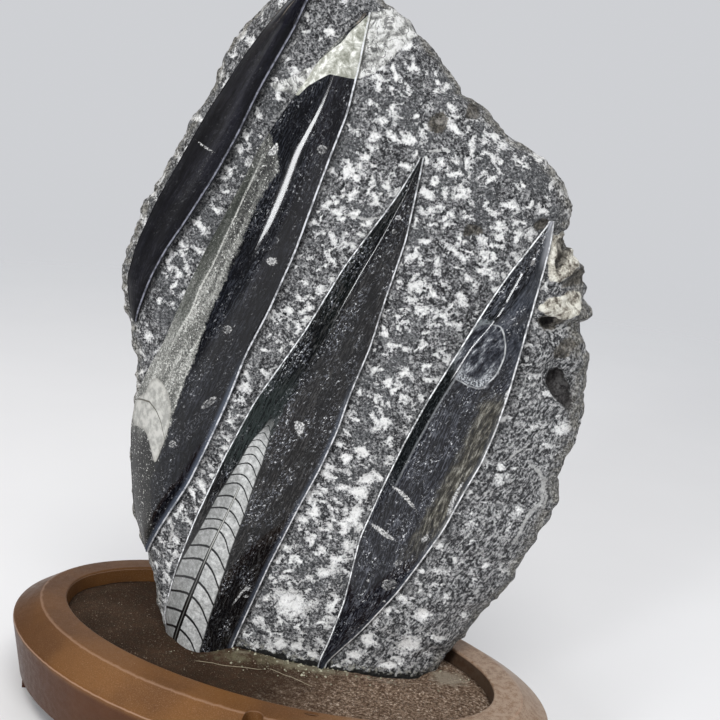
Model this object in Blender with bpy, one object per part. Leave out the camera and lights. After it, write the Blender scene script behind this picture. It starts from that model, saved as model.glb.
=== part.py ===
# A fossil sculpture: a slab of dark limestone with four polished orthoceras cones
# standing proud of its pecked face. The slab's cut foot is set in the gritty filling
# of an oval stand. Metres, +Z up; the origin is on the ground under the stand's middle.

import bmesh
import bpy
from math import cos, pi, radians, sin
from mathutils import Vector, noise

MM = 0.001
JOINT_GAP = 0.3 * MM

# Oval stand: every ring is the recess oval grown outwards by an offset.
RECESS_HALF_LENGTH = 110 * MM
RECESS_HALF_WIDTH = 56.4 * MM
STAND_HEIGHT = 48 * MM
LIP_WIDTH = 12.5 * MM
LIP_FALL = 0.5 * MM
BAND_WIDTH = 14 * MM
BAND_FALL = 8.8 * MM
SKIRT_LEAN = 4.5 * MM
FOOT_HEIGHT = 9 * MM
FOOT_SETBACK = 1.5 * MM
FOOT_DEPTH = 12 * MM
RECESS_DEPTH = 31 * MM
RECESS_LEAN = 2 * MM
OVAL_SIDES = 80
# Middle angle and half angle of each foot along the oval, in degrees.
FEET = {"left": (180, 26), "front": (270, 14), "right": (0, 26), "back": (90, 14)}
LIP_HOLE_AT = (47.2, -54.3)
LIP_HOLE_SIZE = (6.5, 2.6, 6)
BAND_NOTCH_AT = (26.3, -72.5)
BAND_NOTCH_SIZE = (8.5, 17, 12)

# Filling: its level below the lip, and how deep the stone's foot stands in it.
FILLING_BELOW_LIP = 6.6 * MM
STONE_SOCKET_DEPTH = 20 * MM

# Stone, in its own upright plane: across (mm, to the right) and height above the filling.
STONE_TURN = radians(15)
STONE_TOP = 311
TENON_TOP = 1.5
LEFT_EDGE = (
    (-20, -53), (0, -54), (14, -59), (34, -66.5), (53, -74), (80, -78), (131, -78),
    (148, -82), (158, -86), (170, -87), (183, -85), (208, -77), (233, -64),
    (247, -57), (257, -50), (273, -45), (284, -39), (298, -28), (306, -18), (311, -9),
)
RIGHT_EDGE = (
    (-20, 77), (0, 79), (8, 81), (12, 84), (18, 90), (34, 98), (48, 108), (68, 115), (84, 121),
    (94, 124), (101, 122.5), (125, 127), (149, 128), (160, 127.5), (171, 123.5),
    (178, 127.5), (184, 126.5), (199, 120), (206, 119), (220, 112), (230, 109.5),
    (238, 102), (248, 90), (252, 81), (261, 75), (266, 62), (271, 61), (286, 44),
    (296, 34), (303, 21), (308, 8), (311, -1),
)
# Front face, middle and back of the stone, in mm towards the viewer, by height.
FRONT_FACE = ((-20, 8), (240, 8), (285, 5), (311, -2))
BACK_FACE = ((-20, -24), (8, -25), (22, -34), (60, -38), (180, -34), (260, -26), (311, -12))
FRONT_POINTS = 25
BACK_POINTS = 13
LEVEL_STEP = 5.5
# Fixes the lumps of the broken faces, which would otherwise differ from build to build.
RELIEF_SEED = 1795466833

# Cones: left and right edge, ridge position (0 left to 1 right), ridge height, all by
# height above the filling. The ridge height is over the pecked face, in mm.
CONES = {
    "upper_left": {
        "left": ((150, -79), (158, -81.5), (171, -84), (187, -80), (207, -72), (231, -60),
                 (253, -49.5), (274, -37), (298, -21), (309, -7)),
        "right": ((150, -78), (158, -75), (176, -68), (188, -62), (201, -54), (221, -43),
                  (240, -34), (261, -26), (287, -14), (299, -10.5), (309, -6)),
        "ridge": ((150, 0.5), (200, 0.62), (260, 0.66), (309, 0.6)),
        "height": ((150, 1), (165, 6), (210, 9), (260, 8), (290, 5), (309, 1)),
    },
    "large": {
        "left": ((38, -66), (60, -74), (100, -76), (116, -70), (141, -62), (172, -50.5),
                 (189, -45), (216, -34.5), (240, -23), (260, -10), (277, -1), (297, 15.5)),
        "right": ((38, -65), (51, -59), (61, -54), (80, -44), (101, -36), (121, -29),
                  (145, -22), (166, -13.4), (194, -4), (221, 3), (254, 12), (276, 15),
                  (297, 16.5)),
        "ridge": ((38, 0.6), (100, 0.62), (190, 0.64), (250, 0.5), (297, 0.5)),
        "height": ((38, 1.5), (60, 7), (110, 10), (190, 10), (250, 7), (280, 3), (297, 0.6)),
    },
    "chambered": {
        "left": ((2, -51), (12, -52.5), (37, -47), (64, -39), (95, -28), (124, -16),
                 (159, 3.5), (190, 18), (222, 37), (240, 45.5)),
        "right": ((2, -17), (18, -12), (46, -3), (76, 8), (96, 16), (116, 22.5), (132, 26),
                  (156, 33), (177, 37), (204, 43), (224, 45), (240, 46.5)),
        "ridge": ((2, 0.5), (100, 0.42), (180, 0.3), (240, 0.4)),
        "height": ((2, 9), (60, 10), (130, 9), (190, 6), (225, 3), (240, 0.6)),
    },
    "spindle": {
        "left": ((2, 25), (14, 29), (35, 34), (67, 38), (94, 46), (115, 53), (136, 61),
                 (156, 70), (182, 82), (196, 89), (211, 98.5), (219, 103.5)),
        "right": ((2, 28), (21, 43), (43, 57.5), (59, 66), (77, 75), (95, 81.5), (111, 88),
                  (126, 92), (148, 96), (176, 100), (198, 103), (211, 104.6), (219, 104.4)),
        "ridge": ((2, 0.5), (80, 0.45), (140, 0.4), (180, 0.45), (219, 0.5)),
        "height": ((2, 1.5), (40, 6), (100, 9), (150, 8), (190, 5), (219, 0.6)),
    },
}
# Broken-out hollows in the stone's right edge: across, height, radius, depth, in mm.
HOLLOWS = ((115, 152, 9, 5), (119, 188, 7, 3), (102, 92, 10, 2.5))
CONE_STEP = 9
CONE_ROOT = 5
CONE_COLUMNS = (-1, -0.8, -0.52, -0.25, 0, 0.25, 0.52, 0.8, 1)


def clear_objects():
    for thing in list(bpy.data.objects):
        bpy.data.objects.remove(thing, do_unlink=True)


def along(table, height):
    # Straight line between the two rows of a (height, value) table around a height.
    for (low, at_low), (high, at_high) in zip(table, table[1:]):
        if height <= high:
            share = max(0.0, (height - low) / (high - low))
            return at_low + share * (at_high - at_low)
    return table[-1][1]


def material(name, colour, roughness):
    made = bpy.data.materials.new(name)
    made.use_nodes = True
    shader = made.node_tree.nodes["Principled BSDF"]
    shader.inputs["Base Color"].default_value = (*colour, 1)
    shader.inputs["Roughness"].default_value = roughness
    shader.inputs["Metallic"].default_value = 0
    return made


def loft(name, rings, group, cap_first=True, cap_last=True):
    # Skin a list of closed rings that all have the same number of points.
    shape = bmesh.new()
    made = [[shape.verts.new(point) for point in ring] for ring in rings]
    for ring, following in zip(made, made[1:]):
        for i, corner in enumerate(ring):
            j = (i + 1) % len(ring)
            shape.faces.new((corner, ring[j], following[j], following[i]))
    if cap_first:
        shape.faces.new(list(reversed(made[0])))
    if cap_last:
        shape.faces.new(made[-1])
    bmesh.ops.recalc_face_normals(shape, faces=shape.faces)
    mesh = bpy.data.meshes.new(name)
    shape.to_mesh(mesh)
    shape.free()
    thing = bpy.data.objects.new(name, mesh)
    group.objects.link(thing)
    return thing


def oval_point(angle, offset, height):
    return Vector((
        (RECESS_HALF_LENGTH + offset) * cos(angle),
        (RECESS_HALF_WIDTH + offset) * sin(angle),
        height,
    ))


def oval_ring(offset, height):
    steps = range(OVAL_SIDES)
    return [oval_point(2 * pi * i / OVAL_SIDES, offset, height) for i in steps]


def oval_stand(group, cutters):
    rim = LIP_WIDTH + BAND_WIDTH
    band_foot = STAND_HEIGHT - LIP_FALL - BAND_FALL
    skirt_bottom = rim - SKIRT_LEAN
    rings = [
        oval_ring(skirt_bottom - 1.2 * MM, FOOT_HEIGHT),
        oval_ring(skirt_bottom, FOOT_HEIGHT + 1.2 * MM),
        oval_ring(rim, band_foot),
        oval_ring(LIP_WIDTH, STAND_HEIGHT - LIP_FALL),
        oval_ring(0.8 * MM, STAND_HEIGHT),
        oval_ring(0, STAND_HEIGHT - 0.8 * MM),
        oval_ring(-RECESS_LEAN, STAND_HEIGHT - RECESS_DEPTH),
    ]
    stand = loft("oval_stand", rings, group)
    stand.data.materials.append(material("stand_brown", (0.21, 0.11, 0.06), 0.6))
    hole = block("lip_hole", LIP_HOLE_AT, LIP_HOLE_SIZE, STAND_HEIGHT, cutters)
    notch = block("band_notch", BAND_NOTCH_AT, BAND_NOTCH_SIZE, STAND_HEIGHT, cutters)
    join(stand, hole, "DIFFERENCE")
    join(stand, notch, "DIFFERENCE")
    return stand


def stand_foot(name, middle, half, group):
    # A short curved block under the skirt, set back a little from its edge.
    outer = LIP_WIDTH + BAND_WIDTH - SKIRT_LEAN - FOOT_SETBACK
    steps = [middle + half * share for share in (-1, -0.5, 0, 0.5, 1)]
    rings = []
    for height in (0, FOOT_HEIGHT - JOINT_GAP):
        out = [oval_point(angle, outer, height) for angle in steps]
        back = [oval_point(angle, outer - FOOT_DEPTH, height) for angle in reversed(steps)]
        rings.append(out + back)
    foot = loft(name, rings, group)
    foot.data.materials.append(material(f"{name}_brown", (0.1, 0.045, 0.03), 0.7))
    return foot


def block(name, place, size, top, cutters):
    # A small box cutter whose middle is at the stated height.
    shape = bmesh.new()
    bmesh.ops.create_cube(shape, size=1)
    bmesh.ops.scale(shape, verts=shape.verts, vec=[side * MM for side in size])
    mesh = bpy.data.meshes.new(name)
    shape.to_mesh(mesh)
    shape.free()
    thing = bpy.data.objects.new(name, mesh)
    thing.location = (place[0] * MM, place[1] * MM, top)
    cutters.objects.link(thing)
    return thing


def join(thing, other, operation):
    step = thing.modifiers.new(f"{operation.lower()} {other.name}", "BOOLEAN")
    step.operation = operation
    step.solver = "EXACT"
    step.object = other
    other.hide_render = True
    other.display_type = "WIRE"


def stone_loop(height):
    # One closed section of the stone, in mm: across, towards the viewer, height.
    left, right = along(LEFT_EDGE, height), along(RIGHT_EDGE, height)
    front, back = along(FRONT_FACE, height), along(BACK_FACE, height)
    middle, half = (left + right) / 2, (right - left) / 2
    core = (front + back) / 2
    front_fall, back_rise = 0.8 * (front - core), 0.7 * (core - back)
    points = []
    for i in range(FRONT_POINTS):
        u = -cos(pi * i / (FRONT_POINTS - 1))
        points.append((middle + half * u, front - front_fall * abs(u) ** 6))
    points.append((middle + half, core))
    for i in range(BACK_POINTS):
        u = cos(pi * i / (BACK_POINTS - 1))
        points.append((middle + half * u, back + back_rise * abs(u) ** 3))
    points.append((middle - half, core))
    return [Vector((across, depth, height)) for across, depth in points]


def roughened(point, is_back):
    # Lumps, small ledges and pits; the buried foot stays plain.
    if point.z <= TENON_TOP:
        return point
    fade = min(1.0, (point.z - TENON_TOP) / 12)
    coarse = noise.noise_vector(point * 0.045) * (4.0 if is_back else 1.2)
    fine = noise.noise_vector(point * 0.16 + Vector((9, 4, 2))) * (2.2 if is_back else 1.0)
    ledge = round(noise.noise(point * 0.03) * 3) / 3 * (2.5 if is_back else 0)
    shift = coarse + fine - Vector((0, ledge, 0))
    shift.z = 0
    if not is_back:
        for across, height, radius, depth in HOLLOWS:
            reach = (Vector((point.x, point.z)) - Vector((across, height))).length / radius
            shift.y -= depth * max(0.0, 1 - reach * reach)
    return point + shift * fade


def local(point):
    # The stone's plane faces the viewer, so depth towards the viewer is -Y.
    return Vector((point.x, -point.y, point.z)) * MM


def stone_body(group):
    noise.seed_set(RELIEF_SEED)
    heights = [-STONE_SOCKET_DEPTH / MM, TENON_TOP]
    while heights[-1] + LEVEL_STEP < STONE_TOP:
        heights.append(heights[-1] + LEVEL_STEP)
    heights.append(STONE_TOP)
    rings = []
    for height in heights:
        ring = []
        for i, point in enumerate(stone_loop(height)):
            ring.append(local(roughened(point, i >= FRONT_POINTS)))
        rings.append(ring)
    return loft("fossil_stone", rings, group)


def face_depth(across, height):
    # Depth of the pecked front face at a place on it.
    left, right = along(LEFT_EDGE, height), along(RIGHT_EDGE, height)
    front, back = along(FRONT_FACE, height), along(BACK_FACE, height)
    u = (2 * across - left - right) / (right - left)
    return front - 0.8 * (front - (front + back) / 2) * min(1.0, abs(u)) ** 6


def cone(name, shape, cutters):
    low, high = shape["left"][0][0], shape["left"][-1][0]
    count = max(2, round((high - low) / CONE_STEP))
    rings = []
    for step in range(count + 1):
        height = low + (high - low) * step / count
        left, right = along(shape["left"], height), along(shape["right"], height)
        ridge, rise = along(shape["ridge"], height), along(shape["height"], height)
        crest = left + (right - left) * ridge
        ring = []
        for v in CONE_COLUMNS:
            across = crest + v * (right - crest if v > 0 else crest - left)
            depth = face_depth(across, height) + rise * (1 - abs(v) ** 1.6)
            ring.append(Vector((across, depth, height)))
        root_left = Vector((left + 0.6, face_depth(left, height) - CONE_ROOT, height))
        root_right = Vector((right - 0.6, face_depth(right, height) - CONE_ROOT, height))
        if root_right.x < root_left.x:
            root_right.x = root_left.x = (left + right) / 2
            root_right.x += 0.05
        ring += [root_right, root_left]
        rings.append([local(point) for point in ring])
    return loft(f"{name}_cone", rings, cutters)


def fossil_stone(group, cutters):
    stone = stone_body(group)
    stone.data.materials.append(material("dark_limestone", (0.09, 0.09, 0.1), 0.5))
    place_in_stand(stone)
    for name, shape in CONES.items():
        raised = cone(name, shape, cutters)
        place_in_stand(raised)
        join(stone, raised, "UNION")
    return stone


def place_in_stand(thing):
    thing.location = (0, 0, STAND_HEIGHT - FILLING_BELOW_LIP)
    thing.rotation_euler = (0, 0, STONE_TURN)


def sand_filling(group):
    # Outside fits the stand's recess; inside is the socket around the stone's foot.
    level = STAND_HEIGHT - FILLING_BELOW_LIP
    floor = STAND_HEIGHT - RECESS_DEPTH + JOINT_GAP
    socket = [turned(point) for point in grown(stone_loop(TENON_TOP), JOINT_GAP / MM)]
    count = len(socket)

    def recess(lean, height):
        ring = []
        for point in socket:
            angle = oval_angle(point)
            ring.append(oval_point(angle, -lean - JOINT_GAP, height))
        return ring

    def between(share, height):
        outer = recess(0, 0)
        return [
            Vector((*(outer[i].xy * (1 - share) + socket[i].xy * share), height))
            for i in range(count)
        ]

    def socket_ring(height):
        return [Vector((*point.xy, height)) for point in socket]

    rings = [
        recess(RECESS_LEAN, floor),
        recess(0.3 * MM, level - 0.6 * MM),
        between(0.35, level + 0.3 * MM),
        between(0.7, level + 0.6 * MM),
        socket_ring(level),
        socket_ring(level - STONE_SOCKET_DEPTH - JOINT_GAP),
    ]
    filling = loft("sand_filling", rings, group)
    filling.data.materials.append(material("set_sand", (0.13, 0.11, 0.09), 0.95))
    return filling


def grown(loop, gap):
    # Move each point of a loop outwards by a gap, at right angles to the loop.
    moved = []
    for i, point in enumerate(loop):
        ahead, behind = loop[(i + 1) % len(loop)], loop[i - 1]
        edge = ahead - behind
        outwards = Vector((-edge.y, edge.x, 0)).normalized()
        moved.append(point + outwards * gap)
    return moved


def turned(point):
    flat = local(point)
    x = flat.x * cos(STONE_TURN) - flat.y * sin(STONE_TURN)
    y = flat.x * sin(STONE_TURN) + flat.y * cos(STONE_TURN)
    return Vector((x, y, 0))


def oval_angle(point):
    reach = Vector((point.x / RECESS_HALF_LENGTH, point.y / RECESS_HALF_WIDTH))
    return Vector((1, 0)).angle_signed(reach) * -1


def main():
    clear_objects()
    scene = bpy.context.scene
    group = bpy.data.collections.new("orthoceras_fossil")
    cutters = bpy.data.collections.new("cutters")
    scene.collection.children.link(group)
    scene.collection.children.link(cutters)
    oval_stand(group, cutters)
    for side, (middle, half) in FEET.items():
        stand_foot(f"stand_foot_{side}", radians(middle), radians(half), group)
    sand_filling(group)
    fossil_stone(group, cutters)


main()
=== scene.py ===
import math

import bmesh
import bpy
import numpy as np
from mathutils import Matrix, Vector, noise


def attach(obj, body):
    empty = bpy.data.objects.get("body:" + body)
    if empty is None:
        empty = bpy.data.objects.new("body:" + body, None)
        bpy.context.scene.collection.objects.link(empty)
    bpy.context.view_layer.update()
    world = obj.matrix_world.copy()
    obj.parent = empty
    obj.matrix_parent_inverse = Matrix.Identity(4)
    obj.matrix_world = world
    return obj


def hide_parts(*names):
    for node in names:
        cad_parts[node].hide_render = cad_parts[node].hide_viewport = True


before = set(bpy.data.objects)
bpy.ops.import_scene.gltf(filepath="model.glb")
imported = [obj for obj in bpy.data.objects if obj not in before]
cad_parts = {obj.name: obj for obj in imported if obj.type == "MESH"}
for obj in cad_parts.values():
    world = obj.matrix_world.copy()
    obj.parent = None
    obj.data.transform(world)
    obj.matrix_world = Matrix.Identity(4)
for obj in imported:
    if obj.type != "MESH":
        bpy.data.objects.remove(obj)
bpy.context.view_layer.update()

# Camera first: where it stands and how it is turned, in metres and degrees.
cameraSetup = {"place": (0.22905, -0.49909, 0.31972), "turn": 21.76, "tilt": 76.46,
               "roll": 6.23, "lens": 62.5, "sensor": 36.0}


def addObject(name, data):
    thing = bpy.data.objects.new(name, data)
    bpy.context.scene.collection.objects.link(thing)
    return thing


def addCamera(setup):
    data = bpy.data.cameras.new("viewCamera")
    data.lens, data.sensor_width = setup["lens"], setup["sensor"]
    camera = addObject("viewCamera", data)
    turn = Matrix.Rotation(math.radians(setup["turn"]), 4, "Z")
    tilt = Matrix.Rotation(math.radians(setup["tilt"]), 4, "X")
    roll = Matrix.Rotation(math.radians(setup["roll"]), 4, "Z")
    camera.matrix_world = Matrix.Translation(setup["place"]) @ turn @ tilt @ roll
    bpy.context.scene.camera = camera


addCamera(cameraSetup)

# The stone's own upright plane, in mm: across, height over the filling, depth to the front.
slabPlane = {"turn": 15.0, "filling": 41.4}


def toWorld(points):
    turn = math.radians(slabPlane["turn"])
    across, height, depth = points[..., 0], points[..., 1], points[..., 2]
    x = across * math.cos(turn) + depth * math.sin(turn)
    y = across * math.sin(turn) - depth * math.cos(turn)
    return np.stack([x, y, height + slabPlane["filling"]], -1) * 0.001


def tableAt(table, heights):
    rows = np.array(table, float)
    return np.interp(heights, rows[:, 0], rows[:, 1])


def softTable(table, heights, reach=5.0):
    # The same, with its corners rounded over a few mm.
    offsets = np.linspace(-reach, reach, 9)
    weights = 1 - np.abs(offsets / reach) * 0.8
    return sum(w * tableAt(table, heights + d) for w, d in zip(weights, offsets)) / weights.sum()


def ease(value, low, high):
    share = np.clip((value - low) / (high - low), 0, 1)
    return share * share * (3 - 2 * share)


def lumps(points, size, seed=0, layers=1):
    # Smooth value noise from -1 to 1 at places in mm; each layer is half as large.
    total, weight = np.zeros(points.shape[:-1]), 0.0
    for layer in range(layers):
        place = points / (size / 2 ** layer) + 19.7 * (seed + layer)
        base = np.floor(place).astype(np.int64)
        part = place - base
        part = part * part * (3 - 2 * part)
        amount = 0.5 ** layer
        for corner in np.ndindex(2, 2, 2):
            cell = base + np.array(corner)
            key = cell[..., 0] * 73856093 ^ cell[..., 1] * 19349663 ^ cell[..., 2] * 83492791
            key = (key ^ (key >> 13)) * 1274126177 & 0xFFFFFFFF
            value = ((key ^ (key >> 16)) & 0xFFFF) / 32767.5 - 1
            share = np.prod(np.where(corner, part, 1 - part), -1)
            total += amount * value * share
        weight += amount
    return total / weight


def fromLine(points, line):
    # Distance of each (across, height) place from a run of straight stretches, in mm.
    line = np.array(line, float)
    nearest = np.full(points.shape[:-1], 1e9)
    for a, b in zip(line, line[1:]):
        edge = b - a
        share = np.clip(((points - a) @ edge) / (edge @ edge), 0, 1)
        nearest = np.minimum(nearest, np.linalg.norm(points - a - share[..., None] * edge, axis=-1))
    return nearest


def insideBy(points, outline):
    # How far inside a closed outline each (across, height) place lies, in mm.
    line = np.array(outline, float)
    nearest = fromLine(points, np.concatenate([line, line[:1]]))
    inside = np.zeros(points.shape[:-1], bool)
    for a, b in zip(line, np.roll(line, -1, 0)):
        cross = (a[1] > points[..., 1]) != (b[1] > points[..., 1])
        where = (b[0] - a[0]) * (points[..., 1] - a[1]) / (b[1] - a[1] + 1e-12) + a[0]
        inside ^= cross & (points[..., 0] < where)
    return np.where(inside, nearest, -nearest)


def smoothOutline(outline, steps=4):
    # A closed outline run through its points on smooth curves.
    line = np.array(outline, float)
    before, after, later = np.roll(line, 1, 0), np.roll(line, -1, 0), np.roll(line, -2, 0)
    points = []
    for t in np.arange(steps) / steps:
        points.append(0.5 * (2 * line + (after - before) * t
                             + (2 * before - 5 * line + 4 * after - later) * t ** 2
                             + (3 * line - before - 3 * after + later) * t ** 3))
    return np.stack(points, 1).reshape(-1, 2)


def addMesh(name, places, faces, finish, values=None):
    mesh = bpy.data.meshes.new(name)
    mesh.from_pydata(places.reshape(-1, 3).tolist(), [], faces)
    mesh.polygons.foreach_set("use_smooth", np.ones(len(mesh.polygons), bool))
    for label, value in (values or {}).items():
        value = np.asarray(value, np.float32)
        kind, field = ("FLOAT_VECTOR",
                       "vector") if value.shape[-1] == 3 and value.ndim > 2 else ("FLOAT", "value")
        mesh.attributes.new(label, kind, "POINT").data.foreach_set(field, value.ravel())
    mesh.materials.append(finish)
    mesh.update()
    return addObject(name, mesh)


def loopFaces(rows, columns, start=0, lastCap=True):
    # Faces between rows of closed loops, with a cap on the first and mostly on the last.
    index = start + np.arange(rows * columns).reshape(rows, columns)
    ahead = np.roll(index, -1, 1)
    quads = np.stack([index[:-1], ahead[:-1], ahead[1:], index[1:]], -1).reshape(-1, 4)
    return quads.tolist() + [index[0][::-1].tolist()] + ([index[-1].tolist()] if lastCap else [])


def closedShell(name, grid, finish, values=None):
    # Rows of closed loops, each counted anticlockwise from above, capped at both ends.
    return addMesh(name, toWorld(grid), loopFaces(*grid.shape[:2]), finish, values)


def surfaceNormals(grid):
    sideways, upwards = np.gradient(grid, axis=1), np.gradient(grid, axis=0)
    normals = np.cross(sideways, upwards)
    return normals / (np.linalg.norm(normals, axis=-1, keepdims=True) + 1e-9)


class Paint:
    # A small helper that wires one material; sizes of patterns are in mm.
    def __init__(self, name, roughness=0.6, gloss=0.5):
        self.material = bpy.data.materials.new(name)
        self.material.use_nodes = True
        self.tree = self.material.node_tree
        self.shader = self.tree.nodes["Principled BSDF"]
        self.shader.inputs["Roughness"].default_value = roughness
        self.shader.inputs["Specular IOR Level"].default_value = gloss
        place = self.node("TexCoord").outputs["Object"]
        self.place = self.node("Mapping", {"Vector": place, "Scale": (1000, 1000, 1000)}).outputs[0]

    def node(self, kind, inputs=None, **settings):
        made = self.tree.nodes.new("ShaderNode" + kind)
        for key, value in settings.items():
            setattr(made, key, value)
        for key, value in (inputs or {}).items():
            if isinstance(value, bpy.types.NodeSocket):
                self.tree.links.new(value, made.inputs[key])
            else:
                made.inputs[key].default_value = value
        return made

    def value(self, label):
        return self.node("Attribute", attribute_name=label).outputs["Fac"]

    def vector(self, label):
        return self.node("Attribute", attribute_name=label).outputs["Vector"]

    def math(self, operation, first, second=0.0):
        return self.node("Math", {0: first, 1: second}, operation=operation).outputs[0]

    def plus(self, first, second):
        return self.math("ADD", first, second)

    def minus(self, first, second):
        return self.math("SUBTRACT", first, second)

    def times(self, first, second):
        return self.math("MULTIPLY", first, second)

    def larger(self, first, second):
        return self.math("MAXIMUM", first, second)

    def absolute(self, value):
        return self.math("ABSOLUTE", value)

    def around(self, value, amount):
        # A pattern from 0 to 1 turned into an offset either way.
        return self.times(self.minus(value, 0.5), amount)

    def mask(self, value, low, high, start=0.0, end=1.0):
        return self.node("MapRange", {"Value": value, "From Min": low, "From Max": high,
                                      "To Min": start, "To Max": end},
                         interpolation_type="SMOOTHSTEP").outputs[0]

    def noise(self, size, detail=3.0, roughness=0.55, place=None, stretch=(1, 1, 1), twist=0.0):
        scale = tuple(side / size for side in stretch)
        mapped = self.node("Mapping", {"Vector": place or self.place, "Scale": scale}).outputs[0]
        return self.node("TexNoise", {"Vector": mapped, "Scale": 1.0, "Detail": detail,
                                      "Roughness": roughness, "Distortion": twist}).outputs["Fac"]

    def cells(self, size, place=None, feature="F1", output="Distance", stretch=(1, 1, 1)):
        scale = tuple(side / size for side in stretch)
        mapped = self.node("Mapping", {"Vector": place or self.place, "Scale": scale}).outputs[0]
        return self.node("TexVoronoi", {"Vector": mapped, "Scale": 1.0},
                         feature=feature).outputs[output]

    def colour(self, share, under, over):
        under = under if isinstance(under, bpy.types.NodeSocket) else (*under, 1)
        over = over if isinstance(over, bpy.types.NodeSocket) else (*over, 1)
        return self.node("Mix", {0: share, 6: under, 7: over}, data_type="RGBA").outputs[2]

    def ramp(self, value, *stops):
        made = self.node("ValToRGB", {"Fac": value})
        marks = made.color_ramp.elements
        while len(marks) < len(stops):
            marks.new(0.5)
        for mark, (where, shade) in zip(marks, stops):
            mark.position = where
            mark.color = (*(shade if isinstance(shade, tuple) else (shade,) * 3), 1)
        return made.outputs["Color"]

    def finish(self, colour, roughness=None, height=None, distance=0.1, strength=1.0):
        self.tree.links.new(colour, self.shader.inputs["Base Color"])
        if roughness is not None:
            self.tree.links.new(roughness, self.shader.inputs["Roughness"])
        if height is not None:
            bump = self.node("Bump", {"Height": height, "Distance": distance * 0.001,
                                      "Strength": strength})
            self.tree.links.new(bump.outputs[0], self.shader.inputs["Normal"])
        return self.material


# Stone: edges of its face by height, then its front and back, all in mm.
stoneForm = {
    "left": ((-20, -53), (0, -54), (14, -59), (34, -66.5), (53, -74), (80, -78), (131, -78),
             (148, -82), (158, -86), (170, -87), (183, -85), (208, -77), (233, -64),
             (247, -57), (257, -50), (273, -45), (284, -39), (298, -28), (306, -18), (311, -9)),
    "right": ((-20, 77), (0, 79), (8, 81), (12, 84), (18, 90), (34, 98), (48, 108), (68, 115),
              (84, 121), (94, 124), (101, 122.5), (125, 127), (149, 128), (160, 127.5),
              (166, 124.5), (171, 120.5), (174.5, 119.7), (178, 126.5), (181, 125.8), (184, 122.4),
              (187, 121.3), (190.5, 121.8), (194, 121), (197, 120.8), (200, 118.9), (203.5, 114.4),
              (206.5, 113.2), (210, 109.3), (213.5, 108), (216, 109.7), (219, 110), (223.5, 110.6),
              (227, 109.8), (230, 108), (233.3, 106), (236.5, 104.3), (239.4, 101.6), (242.3, 99),
              (245, 95.4), (248, 87.5), (250.5, 82.8), (253.5, 77.4), (256.5, 74.4), (259.5, 71.6),
              (262.5, 68.6), (265.5, 63.8), (267.5, 58), (270.5, 57), (273.5, 54.6), (276.5, 51.8),
              (283.7, 42.6), (286, 40.2), (290, 36), (296, 31), (303, 19), (308, 7.6), (311, -1)),
    "front": ((-20, 8), (240, 8), (285, 5), (311, -2)),
    "back": ((-20, -24), (8, -25), (22, -34), (60, -38), (180, -34), (260, -26), (311, -12)),
    "hollows": ((115, 152, 9, 5), (119, 188, 7, 3), (102, 92, 10, 2.5), (110, 176, 6, 3.5),
                (118, 149, 5, 3)),
    "rocks": {
        "crystal": (((105, 212), (111.8, 214), (116, 211), (118.5, 203), (117, 198.5), (112, 194.5),
                     (106, 194), (104.1, 201), (104.6, 208)),
                    ((103.6, 181), (105.5, 185.2), (111, 187.5), (116, 188.8), (121, 188),
                     (122, 181), (119.5, 178), (114.5, 176.8), (108.6, 178.3))),
        "umber": (((46.5, 252), (47.5, 258), (52, 259.5), (55, 256), (53, 251)),
                  ((61.5, 258), (62, 264), (66, 265), (68, 259.5)),
                  ((68, 209), (68.5, 214), (74, 214.5), (76, 211)),
                  ((96, 216), (99, 220), (103, 218.5), (101, 214.5)),
                  ((104, 177.6), (108.6, 178.6), (116.5, 177), (109.7, 171.9), (104.5, 174.4)),
                  ((113, 163.6), (116.4, 168.3), (120.5, 168.2), (122.3, 164.9), (119.5, 160),
                   (114.2, 159)),
                  ((111, 191.6), (113.7, 195.9), (119.8, 199.5), (123.5, 192.8), (117.5, 191.5)),
                  ((107, 211), (111, 212), (114, 208.5), (112.5, 203), (108.5, 199), (107, 204))),
        "pit": (((107.2, 203), (109, 203.5), (109.8, 198.6), (108.6, 197.6)),
                ((110.3, 209), (113.4, 209.3), (113.8, 207.4), (111, 207.2)),
                ((112.4, 152.8), (115.5, 154.3), (118.6, 152.2), (120.4, 148.4), (124, 143.2),
                 (125.2, 137.4), (121.6, 136.4), (117, 140.2), (114.6, 145.6), (112, 148.4)),
                ((106, 177.2), (110, 177.4), (113.5, 176), (109.7, 173.5), (106, 174.8)))},
    # The slow lumps come from noise with this fixed seed.
    "seed": 1795466833, "foot": -8.0, "top": 311.0, "faceRows": 384, "faceColumns": 212,
    "rimColumns": 9, "backRows": 170, "backColumns": 100,
    # How deep the face is cut beside a cone and beneath it, and how far the rim bulges.
    "besideCone": 0.5, "underCone": 3.5, "rimBulge": 1.2,
    # How far pits and dark rock sink in, and how far crystals stand out.
    "pitDepth": 2.6, "umberDepth": 0.8, "crystalRise": 0.9,
}
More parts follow.
